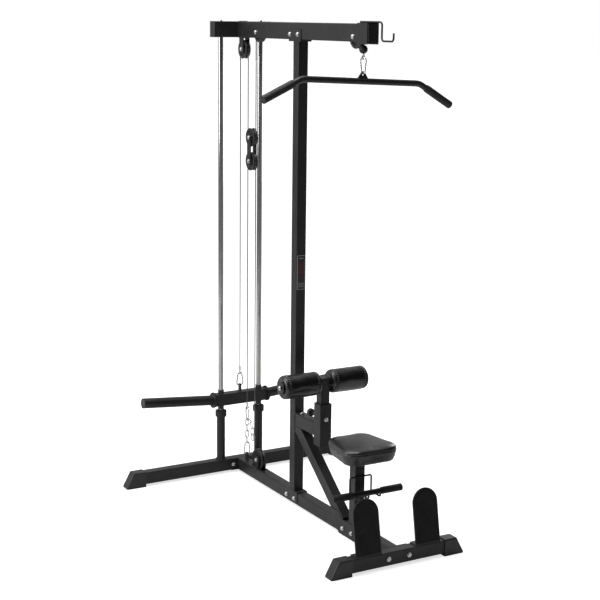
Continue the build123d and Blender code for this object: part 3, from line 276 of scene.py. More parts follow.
def grit_tape():
    """Black anti slip tape: dense grit with a few bright mineral points."""
    n = Nodes("grip_tape")
    grit = n.cells(900.0, "F1")
    points = n.ramp(n.noise(1400.0, 1.0), 0.0, 1.0, 0.66, 0.74)
    colour = n.mix(n.ramp(n.noise(20.0, 3.0), 0.0, 1.0), (0.009, 0.009, 0.009), (0.017, 0.016, 0.016))
    colour = n.mix(points, colour, (0.11, 0.105, 0.10))
    roughness = n.ramp(n.noise(60.0, 2.0), 0.82, 0.95)
    n.set(Specular_IOR_Level=0.25)
    return n.finish(colour, roughness, n.bump(grit, 0.6, 0.0006))


def coated_cable():
    """Grey nylon over laid steel strands: the strands show as a faint twist along the UV map."""
    n = Nodes("cable_grey")
    split = n.tree.nodes.new("ShaderNodeSeparateXYZ")
    n.link(n.coords.outputs["UV"], split.inputs[0])
    phase = n.maths("ADD", n.maths("MULTIPLY", split.outputs["X"], 6.0), split.outputs["Y"])
    twist = n.maths("SINE", n.maths("MULTIPLY", phase, TAU))
    strand = n.ramp(twist, 0.0, 1.0, -1.0, 1.0)
    colour = n.mix(strand, (0.030, 0.030, 0.032), (0.075, 0.075, 0.078))
    roughness = n.ramp(n.noise(80.0, 2.0, None, "UV"), 0.28, 0.42)
    n.set(Coat_Weight=0.4, Coat_Roughness=0.15)
    return n.finish(colour, roughness, n.bump(strand, 0.5, 0.0004))


def thread():
    """Black polyester sewing thread."""
    n = Nodes("thread")
    colour = n.mix(n.ramp(n.noise(700.0, 2.0), 0.0, 1.0), (0.03, 0.03, 0.031), (0.07, 0.07, 0.072))
    roughness = n.ramp(n.noise(400.0, 2.0), 0.5, 0.65)
    n.set(Sheen_Weight=0.3, Sheen_Roughness=0.4)
    return n.finish(colour, roughness, n.bump(n.noise(2200.0, 1.0), 0.3, 0.0001))


def printed(name, dark, light, rough):
    """Printed film on the post's badge, with a faint screen texture."""
    n = Nodes(name)
    colour = n.mix(n.ramp(n.noise(150.0, 3.0), 0.0, 1.0), dark, light)
    roughness = n.ramp(n.noise(90.0, 2.0), rough - 0.05, rough + 0.08)
    return n.finish(colour, roughness, n.bump(n.noise(1800.0, 1.0), 0.08, 0.0001))


SLOTS = {
    "frame_black": powder_coat(),
    "chrome": chrome(),
    "zinc": zinc(),
    "bush_steel": turned_steel(),
    "pulley_nylon": moulded("pulley_nylon", (0.011, 0.011, 0.012), (0.019, 0.019, 0.020), 0.34, 700.0, 0.10),
    "cap_plastic": moulded("cap_plastic", (0.007, 0.007, 0.0075), (0.013, 0.013, 0.0135), 0.34, 900.0, 0.2),
    "bush_white": moulded("bush_black", (0.016, 0.016, 0.017), (0.026, 0.026, 0.027), 0.40, 800.0, 0.15),
    "rubber_black": moulded("rubber_black", (0.009, 0.009, 0.009), (0.016, 0.016, 0.016), 0.62, 1200.0, 0.45),
    "foam_vinyl": vinyl("foam_vinyl", 520.0, 0.24, 0.34, 0.4, 0.3, 0.09),
    "seat_vinyl": vinyl("seat_vinyl", 430.0, 0.28, 0.38, 0.7, 0.2, 0.16),
    "grip_tape": grit_tape(),
    "cable_grey": coated_cable(),
}
THREAD = thread()


def dress_cad_nodes():
    """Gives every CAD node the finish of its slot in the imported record."""
    for entry in frame["record"]["subparts"]:
        mesh = NODES[entry["node"]].data
        mesh.materials.clear()
        mesh.materials.append(SLOTS[entry["material_slot"]])


# ---------------------------------------------------------------- mesh building
def make_piece(name, verts, faces, material, uvs=None, smooth=True):
    """One mesh object at the origin, its place in its vertices. uvs gives one (u, v) list per face."""
    mesh = bpy.data.meshes.new(name)
    mesh.from_pydata(verts, [], faces)
    mesh.update()
    if uvs is not None:
        layer = mesh.uv_layers.new(name="UVMap")
        flat = [c for face in uvs for uv in face for c in uv]
        layer.data.foreach_set("uv", flat)
    mesh.polygons.foreach_set("use_smooth", [smooth] * len(mesh.polygons))
    mesh.materials.append(material)
    piece = bpy.data.objects.new(name, mesh)
    SCENE.collection.objects.link(piece)
    return piece


def add_slot(piece):
    return piece


def sweep(points, radius, sides, closed=False, pitch=0.022):
    """Tube along points. radius is a number, or a list with one radius per point."""
    count = len(points)
    points = [Vector(p) for p in points]
    radii = radius if isinstance(radius, list) else [radius] * count
    verts, faces, uvs = [], [], []
    normal, along = None, 0.0
    lengths = []
    for i, point in enumerate(points):
        before = points[i - 1] if i or closed else point
        after = points[(i + 1) % count] if i < count - 1 or closed else point
        tangent = (after - before).normalized()
        if normal is None:
            side = Vector((1, 0, 0)) if abs(tangent.x) < 0.9 else Vector((0, 0, 1))
            normal = (side - tangent * side.dot(tangent)).normalized()
        normal = (normal - tangent * normal.dot(tangent)).normalized()
        other = tangent.cross(normal)
        for k in range(sides):
            a = TAU * k / sides
            verts.append(point + (normal * math.cos(a) + other * math.sin(a)) * radii[i])
        along += (point - points[i - 1]).length if i else 0.0
        lengths.append(along / pitch)
    lengths.append(along / pitch + 1)
    for i in range(count if closed else count - 1):
        j = (i + 1) % count
        for k in range(sides):
            m = (k + 1) % sides
            faces.append((i * sides + k, i * sides + m, j * sides + m, j * sides + k))
            u0, u1, v0, v1 = k / sides, (k + 1) / sides, lengths[i], lengths[i + 1]
            uvs.append(((u0, v0), (u1, v0), (u1, v1), (u0, v1)))
    if not closed:
        last = (count - 1) * sides
        faces.append(tuple(reversed(range(sides))))
        faces.append(tuple(range(last, last + sides)))
        for level in (lengths[0], along / pitch):
            uvs.append([(k / sides, level) for k in range(sides)])
    return verts, faces, uvs


def band_faces(rows, sides, closed=False):
    """Quads between rows of points with sides points in each. closed joins the last row to the first."""
    faces = []
    for i in range(rows if closed else rows - 1):
        a, b = i * sides, (i + 1) % rows * sides
        for k in range(sides):
            m = (k + 1) % sides
            faces.append((a + k, a + m, b + m, b + k))
    return faces


def merged(parts):
    """Joins (verts, faces) or (verts, faces, uvs) lists into one."""
    verts, faces, uvs = [], [], []
    for part in parts:
        offset = len(verts)
        verts += part[0]
        faces += [tuple(i + offset for i in face) for face in part[1]]
        uvs += part[2] if len(part) > 2 else []
    return verts, faces, uvs or None


def line_points(start, end, step):
    a, b = Vector(start), Vector(end)
    count = max(2, round((b - a).length / step) + 1)
    return [a.lerp(b, i / (count - 1)) for i in range(count)]


def arc_points(centre, radius, start, sweep_by, step_degrees=5.0):
    """Points on an arc in the YZ plane about (0, centre y, centre z). Angles in degrees from +Y to +Z."""
    count = max(2, round(abs(sweep_by) / step_degrees) + 1)
    points = []
    for i in range(count):
        a = math.radians(start + sweep_by * i / (count - 1))
        points.append(Vector((0, centre.y + radius * math.cos(a), centre.z + radius * math.sin(a))))
    return points


# ---------------------------------------------------------------- cables
CABLE_R = 0.0025
PULLEY_RIM = 0.005          # the rim's height above the cable's centre line
CABLE_SIDES = 12
CABLE_STEP = 0.012
CABLE_TUCK = 0.001          # how far a cable's end reaches into its fitting


def wheel(node):
    """Centre of a pulley and the radius of the cable's centre line on it."""
    lo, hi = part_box(node)
    return (lo + hi) / 2, (hi.z - lo.z) / 2 - PULLEY_RIM


def cable_piece(name, node, points, ride=None):
    """One stretch of cable. It rides on one body, or stays fixed in place."""
    verts, faces, uvs = sweep(points, CABLE_R, CABLE_SIDES)
    piece = make_piece(name, verts, faces, SLOTS["cable_grey"], uvs)
    add_slot(piece)
    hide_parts(node)
    if ride:
        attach(piece, ride)
    else:
        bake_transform(piece)
    return piece


def strand(name, node, y, start_z, end_z, bodies):
    """Upright stretch of cable at y, fixed in place between two bodies. bodies is not used."""
    cable_piece(name, node, line_points((0, y, start_z), (0, y, end_z), CABLE_STEP))


def make_lat_cable():
    front, r_front = wheel("front_boom_pulley")
    rear, r_rear = wheel("rear_boom_pulley")
    upper, r_upper = wheel("block_upper_pulley")
    hang, r_hang = wheel("hanging_pulley")
    ball = middle("lat_ball_stop")
    clip_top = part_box("carriage_carabiner")[1].z
    drop_y, down_y = front.y - r_front, rear.y + r_rear
    up_y, end_y = upper.y + r_upper, hang.y + r_hang
    strand("lat_cable_front", "lat_cable", drop_y, front.z, ball.z + CABLE_TUCK, ("frame", "lat_end"))
    top = arc_points(front, r_front, 180, -90)
    top += line_points((0, front.y, front.z + r_front), (0, rear.y, front.z + r_front), CABLE_STEP)[1:-1]
    top += arc_points(rear, r_rear, 90, -90)
    cable_piece("lat_cable_top", "lat_cable", top, ride="frame")
    strand("lat_cable_down", "lat_cable", down_y, rear.z, upper.z, ("frame", "block"))
    cable_piece("lat_cable_block", "lat_cable", arc_points(upper, r_upper, 180, 180), ride="block")
    strand("lat_cable_up", "lat_cable", up_y, upper.z, hang.z, ("block", "frame"))
    cable_piece("lat_cable_hanging", "lat_cable", arc_points(hang, r_hang, 180, -180), ride="frame")
    strand("lat_cable_carriage", "lat_cable", end_y, hang.z, clip_top - CABLE_TUCK, ("frame", "carriage"))


def make_row_cable():
    front, r_front = wheel("low_front_pulley")
    rear, r_rear = wheel("low_rear_pulley")
    block, r_block = wheel("block_lower_pulley")
    ball = middle("row_ball_stop")
    clip_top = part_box("anchor_carabiner_upper")[1].z
    rise_y, up_y, down_y = front.y - r_front, rear.y + r_rear, block.y + r_block
    strand("row_cable_front", "row_cable", rise_y, front.z, ball.z - CABLE_TUCK, ("frame", "row_end"))
    low = arc_points(front, r_front, 180, 90)
    low += line_points((0, front.y, front.z - r_front), (0, rear.y, front.z - r_front), CABLE_STEP)[1:-1]
    low += arc_points(rear, r_rear, 270, 90)
    cable_piece("row_cable_low", "row_cable", low, ride="frame")
    strand("row_cable_up", "row_cable", up_y, rear.z, block.z, ("frame", "block"))
    cable_piece("row_cable_block", "row_cable", arc_points(block, r_block, 180, -180), ride="block")
    strand("row_cable_down", "row_cable", down_y, block.z, clip_top - CABLE_TUCK, ("block", "frame"))


# ---------------------------------------------------------------- stitches, welds
def stitch(centre, along, out, length, radius):
    """Small raised stitch: an ellipsoid of 6 by 4 facets lying along a seam."""
    side = along.cross(out).normalized()
    verts, faces = [centre - along * length / 2], []
    rings, sides = 3, 6
    for r in range(1, rings + 1):
        a = math.pi * r / (rings + 1)
        for k in range(sides):
            b = TAU * k / sides
            offset = -along * math.cos(a) * length / 2
            offset += (side * math.cos(b) + out * math.sin(b)) * math.sin(a) * radius
            verts.append(centre + offset)
    verts.append(centre + along * length / 2)
    last = len(verts) - 1
    for k in range(sides):
        m = (k + 1) % sides
        faces.append((0, 1 + m, 1 + k))
        for r in range(rings - 1):
            i, j = 1 + r * sides, 1 + (r + 1) * sides
            faces.append((i + k, i + m, j + m, j + k))
        faces.append((last, last - sides + k, last - sides + m))
    return verts, faces


WELD_R = 0.0028
WELD_RIPPLE = 0.0042        # distance between the ripples of a weld bead
WELD_STEP = 0.0014


def resampled(corners, closed):
    """Points WELD_STEP apart along straight runs between corners."""
    points = []
    ends = list(corners) + ([corners[0]] if closed else [])
    for a, b in zip(ends[:-1], ends[1:]):
        run = line_points(a, b, WELD_STEP)
        points += run[:-1]
    if not closed:
        points.append(Vector(ends[-1]))
    return points


def bead(corners, closed=True, radius=WELD_R):
    """Weld bead along corners, with its ripples in its radius."""
    points = resampled(corners, closed)
    radii = []
    for i in range(len(points)):
        s = i * WELD_STEP / WELD_RIPPLE
        radii.append(radius * (0.86 + 0.14 * abs(math.sin(math.pi * s)) + 0.05 * math.sin(1.7 * s)))
    if not closed:
        radii[0] = radii[-1] = radius * 0.4
    return sweep(points, radii, 8, closed)


def rectangle(centre, across, up, half_across, half_up, corner=0.004):
    """Closed loop of a rectangle with cut corners about centre, spanned by two unit vectors."""
    centre, across, up = Vector(centre), Vector(across), Vector(up)
    loop = []
    for sx, sy in ((1, -1), (1, 1), (-1, 1), (-1, -1)):
        first, second = (0.0, corner) if sx == sy else (corner, 0.0)
        for cut_x, cut_y in ((first, second), (second, first)):
            loop.append(centre + across * sx * (half_across - cut_x) + up * sy * (half_up - cut_y))
    return sorted(loop, key=lambda point: math.atan2((point - centre).dot(up), (point - centre).dot(across)))


def circle(centre, axis, radius, count=40):
    axis = Vector(axis).normalized()
    side = axis.orthogonal().normalized()
    other = axis.cross(side)
    points = []
    for k in range(count):
        a = TAU * k / count
        points.append(Vector(centre) + (side * math.cos(a) + other * math.sin(a)) * radius)
    return points


def weld_piece(name, body, beads):
    verts, faces, _ = merged([(part[0], part[1]) for part in beads])
    piece = make_piece(name, verts, faces, SLOTS["frame_black"])
    add_slot(piece)
    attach(piece, body)


# ---------------------------------------------------------------- rollers
ROLLER_EDGE = 0.013         # radius of the rolled edge at each end
SEAM_IN = 0.019             # distance of the sewn seam from each end
PUCKERS = 34
ROLLER_STEPS = 144


def roller_profile(half, outer, bore):
    """(x, r) pairs from the bore at one end, over the outside, to the bore at the other end."""
    profile = [(-half + 0.006, bore), (-half + 0.004, bore + 0.004), (-half + 0.003, bore + 0.016)]
    profile += [(-half + 0.0015, outer - ROLLER_EDGE - 0.006)]
    for i in reversed(range(9)):
        a = math.radians(90 * i / 8)
        profile.append((-half + ROLLER_EDGE * (1 - math.sin(a)), outer - ROLLER_EDGE * (1 - math.cos(a))))
    inner = [(-half + ROLLER_EDGE + 0.0015 * i, outer) for i in range(1, 11)]
    wide = half - ROLLER_EDGE - 0.0015 * 11
    steps = 26
    body = [(-wide + 2 * wide * i / steps, outer) for i in range(steps + 1)]
    left = profile + inner
    right = [(-x, r) for x, r in reversed(left)]
    return left + body[1:-1] + right


def roller_skin(x, r, angle, half, outer):
    """Radius of the vinyl skin at a point: crowned middle, pulled in and puckered at the seams."""
    if r < outer - ROLLER_EDGE * 0.98:
        pull = math.cos(PUCKERS * angle) * 0.0003 * max(0.0, (r - 0.02) / outer)
        return r, pull
    rise = 0.0016 * math.cos(math.pi * x / (2 * half)) - 0.0016
    seam = abs(abs(x) - (half - SEAM_IN))
    groove = -0.0017 * math.exp(-(seam / 0.0016) ** 2)
    wave = math.cos(PUCKERS * angle + 0.9 * math.sin(5 * angle) + (2.1 if x > 0 else 0.4))
    pucker = 0.0018 * wave * math.exp(-(seam / 0.007) ** 2)
    long_wave = 0.0005 * math.sin(3 * angle + 40 * x) + 0.0003 * math.sin(7 * angle - 65 * x)
    lengthwise = -0.0013 * math.exp(-((angle - math.radians(250)) / 0.022) ** 2)
    return min(outer - 0.0001, r + rise + groove + pucker * 0.8 + long_wave - 0.0007 + lengthwise), 0.0


def make_roller(node, body):
    lo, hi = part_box(node)
    centre, half, outer = (lo + hi) / 2, (hi.x - lo.x) / 2, (hi.z - lo.z) / 2
    profile = roller_profile(half, outer, 0.0132)
    verts = []
    for x, r in profile:
        for k in range(ROLLER_STEPS):
            a = TAU * k / ROLLER_STEPS
            radius, shift = roller_skin(x, r, a, half, outer)
            y, z = centre.y + radius * math.cos(a), centre.z + radius * math.sin(a)
            verts.append((centre.x + x + shift, y, z))
    faces = band_faces(len(profile), ROLLER_STEPS, True)
    piece = make_piece(node.replace("pad", "foam"), verts, faces, SLOTS["foam_vinyl"])
    recalculate(piece)
    add_slot(piece)
    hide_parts(node)
    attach(piece, body)
    stitches = []
    count = 62
    for x in (-half + SEAM_IN + 0.0045, half - SEAM_IN - 0.0045):
        for k in range(count):
            a = TAU * (k + 0.5) / count
            out = Vector((0, math.cos(a), math.sin(a)))
            radius = roller_skin(x, outer, a, half, outer)[0]
            at = Vector((centre.x + x, centre.y, centre.z)) + out * (radius + 0.0001)
            stitches.append(stitch(at, Vector((0, -math.sin(a), math.cos(a))), out, 0.0036, 0.0006))
    verts, faces, _ = merged(stitches)
    sewn = make_piece(node.replace("pad", "stitches"), verts, faces, THREAD)
    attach(sewn, body)


ROLLER_BOLT = (             # profile of the button bolt and washer on the axle's end, (out, radius)
    (0.0, 0.0108), (0.0013, 0.0108), (0.0015, 0.0106), (0.0015, 0.0090), (0.0030, 0.0088), (0.0046, 0.0080),
    (0.0060, 0.0064), (0.0067, 0.0046), (0.0067, 0.0036),
)
SOCKET_FLAT = 0.0030        # half the width across the socket's flats
SOCKET_FLOOR = 0.0032


def make_roller_bolt(side):
    """Silver button bolt with a hexagon socket on one end of the roller axle."""
    lo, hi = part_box("roller_end_caps")
    start = hi.x if side > 0 else lo.x
    y, z = (lo.y + hi.y) / 2, (lo.z + hi.z) / 2
    sides = 36
    sixth = TAU / 6
    rings = [[(out, radius)] * sides for out, radius in ROLLER_BOLT]
    from_flat = [(TAU * k / sides + sixth / 2) % sixth - sixth / 2 for k in range(sides)]
    flats = [SOCKET_FLAT / math.cos(turn) for turn in from_flat]
    rings += [[(out, flat) for flat in flats] for out in (ROLLER_BOLT[-1][0], SOCKET_FLOOR)]
    verts = []
    for ring in rings:
        for k, (out, radius) in enumerate(ring):
            a = TAU * k / sides
            verts.append((start + side * out, y + radius * math.cos(a), z + radius * math.sin(a)))
    faces = band_faces(len(rings), sides)
    faces += [tuple(range(sides)), tuple(range(len(verts) - sides, len(verts)))]
    name = "roller_bolt_right" if side > 0 else "roller_bolt_left"
    piece = make_piece(name, verts, faces, SLOTS["zinc"], smooth=False)
    recalculate(piece)
    add_slot(piece)
    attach(piece, "roller_post")


def recalculate(piece):
    """Makes a closed mesh's normals point outwards."""
    work = bmesh.new()
    work.from_mesh(piece.data)
    bmesh.ops.recalc_face_normals(work, faces=work.faces)
    work.to_mesh(piece.data)
    work.free()


# ---------------------------------------------------------------- seat
SEAT_CORNER = 0.068
SEAT_FRONT_HALF = 0.1475    # half widths of the outline before its corners are rounded
SEAT_REAR_HALF = 0.106
SEAT_DROP = 0.008           # how far the cover wraps down past the board's edge
SEAT_VOXEL = 0.0045
SEAT_CROWN = 0.0042         # rise of the cushion's middle above the CAD cushion
SEAT_MOST = 0.006           # furthest that its top may stand above the CAD cushion
SEAT_CAP = 0.0022           # furthest that the simulation may move a point
SEAT_FRAMES = 20


def seat_outline(lo, hi, inset, per_corner=10):
    """Rounded trapezoid, wide at the front, pulled in by inset. Anticlockwise (x, y) points."""
    corners = [(-SEAT_FRONT_HALF, lo.y), (SEAT_FRONT_HALF, lo.y)]
    corners += [(SEAT_REAR_HALF, hi.y), (-SEAT_REAR_HALF, hi.y)]
    corners = [Vector(corner) for corner in corners]
    radius = SEAT_CORNER
    points = []
    for i, corner in enumerate(corners):
        before = (corners[i - 1] - corner).normalized()
        after = (corners[(i + 1) % 4] - corner).normalized()
        half_angle = before.angle(after) / 2
        centre = corner + (before + after).normalized() * (radius / math.sin(half_angle))
        out_before = Vector((before.y, -before.x))
        out_before *= 1 if out_before.dot(corner - centre) > 0 else -1
        out_after = Vector((after.y, -after.x))
        out_after *= 1 if out_after.dot(corner - centre) > 0 else -1
        a0, a1 = math.atan2(out_before.y, out_before.x), math.atan2(out_after.y, out_after.x)
        while a1 < a0:
            a1 += TAU
        for k in range(per_corner + 1):
            a = a0 + (a1 - a0) * k / per_corner
            points.append(centre + Vector((math.cos(a), math.sin(a))) * (radius - inset))
    return points


def evenly(points, count):
    """count points spaced evenly along a closed line."""
    ring = [Vector(p) for p in points] + [Vector(points[0])]
    lengths = [0.0]
    for a, b in zip(ring[:-1], ring[1:]):
        lengths.append(lengths[-1] + (b - a).length)
    found, seg = [], 0
    for i in range(count):
        s = lengths[-1] * i / count
        while lengths[seg + 1] < s:
            seg += 1
        span = lengths[seg + 1] - lengths[seg]
        found.append(ring[seg].lerp(ring[seg + 1], (s - lengths[seg]) / span if span else 0.0))
    return found


SEAM_DOWN = 0.017           # height of the sewn seam below the seat's top


def seat_start(lo, hi, count=112):
    """Closed starting form, a little smaller than the CAD cushion: (verts, faces)."""
    height = hi.z - lo.z
    profile = (
        (0.000, 0.026), (0.000, 0.017), (0.006, 0.0125), (0.020, 0.007), (height - 0.022, 0.001),
        (height - 0.012, 0.0015), (height - 0.006, 0.0045), (height - 0.0025, 0.010),
        (height - 0.0005, 0.020), (height + 0.0015, 0.040), (height + 0.0030, 0.060),
    )
    verts = []
    for z, inset in profile:
        for point in evenly(seat_outline(lo, hi, inset), count):
            verts.append((point.x, point.y, lo.z + z))
    faces = band_faces(len(profile), count)
    last = (len(profile) - 1) * count
    centre = sum((Vector(v) for v in verts[last:]), Vector()) / count
    verts += [(centre.x, centre.y, lo.z + height + SEAT_CROWN), (centre.x, centre.y, lo.z)]
    for k in range(count):
        m = (k + 1) % count
        faces.append((last + k, last + m, len(verts) - 2))
        faces.append((m, k, len(verts) - 1))
    return verts, faces


def apply_modifiers(piece):
    graph = bpy.context.evaluated_depsgraph_get()
    mesh = bpy.data.meshes.new_from_object(piece.evaluated_get(graph))
    piece.modifiers.clear()
    piece.data = mesh


def inflate(piece):
    """Runs the cloth simulation on the remeshed cushion, with each point's movement capped."""
    rest = [v.co.copy() for v in piece.data.vertices]
    cloth = piece.modifiers.new("Cloth", "CLOTH")
    cloth.settings.use_pressure = True
    cloth.settings.uniform_pressure_force = 4.0
    cloth.settings.effector_weights.gravity = 0.0
    cloth.settings.quality = 6
    cloth.point_cache.frame_start, cloth.point_cache.frame_end = 1, SEAT_FRAMES
    for step in range(1, SEAT_FRAMES + 1):
        SCENE.frame_set(step)
    apply_modifiers(piece)
    SCENE.frame_set(1)
    for vert, start in zip(piece.data.vertices, rest):
        move = vert.co - start
        if move.length > SEAT_CAP:
            vert.co = start + move.normalized() * SEAT_CAP


def settle(piece, lo, hi):
    """Flattens the cushion's underside and keeps its top at most SEAT_MOST above the CAD cushion."""
    top = max(v.co.z for v in piece.data.vertices)
    for vert in piece.data.vertices:
        if vert.co.z < lo.z + 0.0045:
            vert.co.z = lo.z + 0.0002
        elif top > hi.z + SEAT_MOST:
            vert.co.z = lo.z + (vert.co.z - lo.z) * (hi.z + SEAT_MOST - lo.z) / (top - lo.z)


def groove(piece, seam_z, depth, width):
    """Pulls the skin in along the sewn seam, with shallow puckers beside it."""
    centre = middle("seat_pad")
    for vert in piece.data.vertices:
        away = Vector((vert.co.x - centre.x, vert.co.y - centre.y, 0))
        gap = vert.co.z - seam_z
        if away.length < 0.05 or abs(gap) > 0.02:
            continue
        angle = math.atan2(away.y, away.x)
        pinch = depth * math.exp(-(gap / width) ** 2)
        ripple = 0.0005 * math.cos(46 * angle + math.sin(9 * angle)) * math.exp(-(gap / (3 * width)) ** 2)
        vert.co -= vert.normal * (pinch + ripple)


def make_seat():
    lo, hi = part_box("seat_pad")
    lo = Vector((lo.x, lo.y, lo.z - SEAT_DROP))
    verts, faces = seat_start(lo, hi)
    piece = make_piece("seat_cushion", verts, faces, SLOTS["seat_vinyl"])
    remesh = piece.modifiers.new("Remesh", "REMESH")
    remesh.mode = "VOXEL"
    remesh.voxel_size = SEAT_VOXEL
    apply_modifiers(piece)
    inflate(piece)
    settle(piece, lo, hi)
    smooth = piece.modifiers.new("Smooth", "CORRECTIVE_SMOOTH")
    smooth.use_only_smooth = True
    smooth.iterations = 4
    finer = piece.modifiers.new("Subdivision", "SUBSURF")
    finer.levels = finer.render_levels = 1
    apply_modifiers(piece)
    seam_z = hi.z - SEAM_DOWN
    piece.data.update()
    groove(piece, seam_z, 0.0022, 0.0022)
    piece.data.polygons.foreach_set("use_smooth", [True] * len(piece.data.polygons))
    piece.data.materials.clear()
    piece.data.materials.append(SLOTS["seat_vinyl"])
    add_slot(piece)
    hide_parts("seat_pad")
    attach(piece, "frame")
    points = [vert.co for vert in piece.data.vertices]
    tree = BVHTree.FromPolygons(points, [tuple(face.vertices) for face in piece.data.polygons])
    ring = evenly(seat_outline(lo, hi, -0.02), 190)
    centre = middle("seat_pad")
    stitches = []
    for i, point in enumerate(ring):
        along = (ring[(i + 1) % len(ring)] - ring[i - 1]).to_3d().normalized()
        from_outside = Vector((point.x, point.y, seam_z - 0.0055))
        inward = Vector((centre.x - point.x, centre.y - point.y, 0)).normalized()
        hit, normal, _, _ = tree.ray_cast(from_outside, inward)
        if hit is None:
            continue
        stitches.append(stitch(hit + normal * 0.0001, along, normal, 0.0034, 0.0006))
    verts, faces, _ = merged(stitches)
    sewn = make_piece("seat_stitches", verts, faces, THREAD)
    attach(sewn, "frame")


# ---------------------------------------------------------------- badge on the post
BADGE_LOW, BADGE_HIGH = 1.044, 1.203
BADGE_HALF = 0.021
BADGE_EDGE = 0.0016         # width of the silver frame round the field
PRINT_T = 0.0003            # thickness of the printed bars


def plate(half_x, low, high, front_y, thick, corner):
    """Thin upright plate with rounded corners, its face towards -Y: (verts, faces)."""
    loop = []
    for sx, sz, start in ((1, -1, -90), (1, 1, 0), (-1, 1, 90), (-1, -1, 180)):
        cx = sx * (half_x - corner)
        cz = (high - corner) if sz > 0 else (low + corner)
        for k in range(6):
            a = math.radians(start + 90 * k / 5)
            loop.append((cx + corner * math.cos(a), cz + corner * math.sin(a)))
    count = len(loop)
    soft = 0.0002
    verts = [(x, front_y + thick, z) for x, z in loop] + [(x, front_y + soft, z) for x, z in loop]
    mid_z = (low + high) / 2
    for x, z in loop:
        verts.append((x - math.copysign(soft, x), front_y, z - math.copysign(soft, z - mid_z)))
    faces = [tuple(range(count)), tuple(reversed(range(2 * count, 3 * count)))]
    for level in range(2):
        for k in range(count):
            m = (k + 1) % count
            a, b = level * count, (level + 1) * count
            faces.append((a + m, a + k, b + k, b + m))
    return verts, faces


def make_badge():
    """Generic badge: silver frame, dark field and plain red and grey bars, without any lettering."""
    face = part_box("upright_post")[0].y
    silver = printed("badge_silver", (0.42, 0.42, 0.43), (0.52, 0.52, 0.53), 0.35)
    dark = printed("badge_dark", (0.014, 0.014, 0.016), (0.024, 0.023, 0.025), 0.38)
    red = printed("badge_red", (0.085, 0.010, 0.014), (0.12, 0.014, 0.019), 0.40)
    grey = printed("badge_grey", (0.20, 0.20, 0.21), (0.27, 0.27, 0.28), 0.42)
    low, high = BADGE_LOW, BADGE_HIGH
    edge = BADGE_EDGE
    field = plate(BADGE_HALF - edge, low + edge, high - edge, face - 0.0011, 0.0004, 0.002)
    parts = [
        ("badge_frame", silver, [plate(BADGE_HALF, low, high, face - 0.0008, 0.0008, 0.003)]),
        ("badge_field", dark, [field]),
    ]
    print_y = face - 0.0013
    bar = plate(0.0022, low + 0.070, low + 0.128, print_y, PRINT_T, 0.001)
    bars = [shifted(bar, dx) for dx in (-0.011, -0.0035, 0.004, 0.0115)]
    bars.append(plate(0.014, low + 0.056, low + 0.060, print_y, PRINT_T, 0.001))
    parts.append(("badge_bars", red, bars))
    lines = [plate(0.015, low + z, low + z + 0.0032, print_y, PRINT_T, 0.001) for z in (0.012, 0.020, 0.028)]
    lines.append(plate(0.012, high - 0.016, high - 0.011, print_y, PRINT_T, 0.001))
    parts.append(("badge_lines", grey, lines))
    for name, material, shapes in parts:
        verts, faces, _ = merged(shapes)
        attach(make_piece(name, verts, faces, material, smooth=False), "frame")


def shifted(shape, dx):
    verts, faces = shape
    return [(x + dx, y, z) for x, y, z in verts], faces


# ---------------------------------------------------------------- welds
TUBE_HALF = 0.025
ARM_LOW, ARM_HIGH = 0.395, 0.457
STRUT_FOOT_Y = -0.296       # middle of the brace's foot on the front rail
STRUT_FOOT_HALF = 0.040
STRUT_UNDER = 0.371         # where the brace's underside meets the post
HORN_TILT = math.radians(5.0)
HORN_START = 0.150
HORN_R = 0.025
CROSSBAR_HALF = 0.030
SLEEVE_W = 0.060
STOP_FOOT_R = 0.026
SEAT_PLATE_T = 0.004
AXLE_R = 0.0125
HEIGHT_POST_HALF = 0.0225
THIN_WELD = 0.002
LUG_HALF = 0.003
LUG_CORNER = 0.001
X_AXIS, Y_AXIS, Z_AXIS = (1, 0, 0), (0, 1, 0), (0, 0, 1)


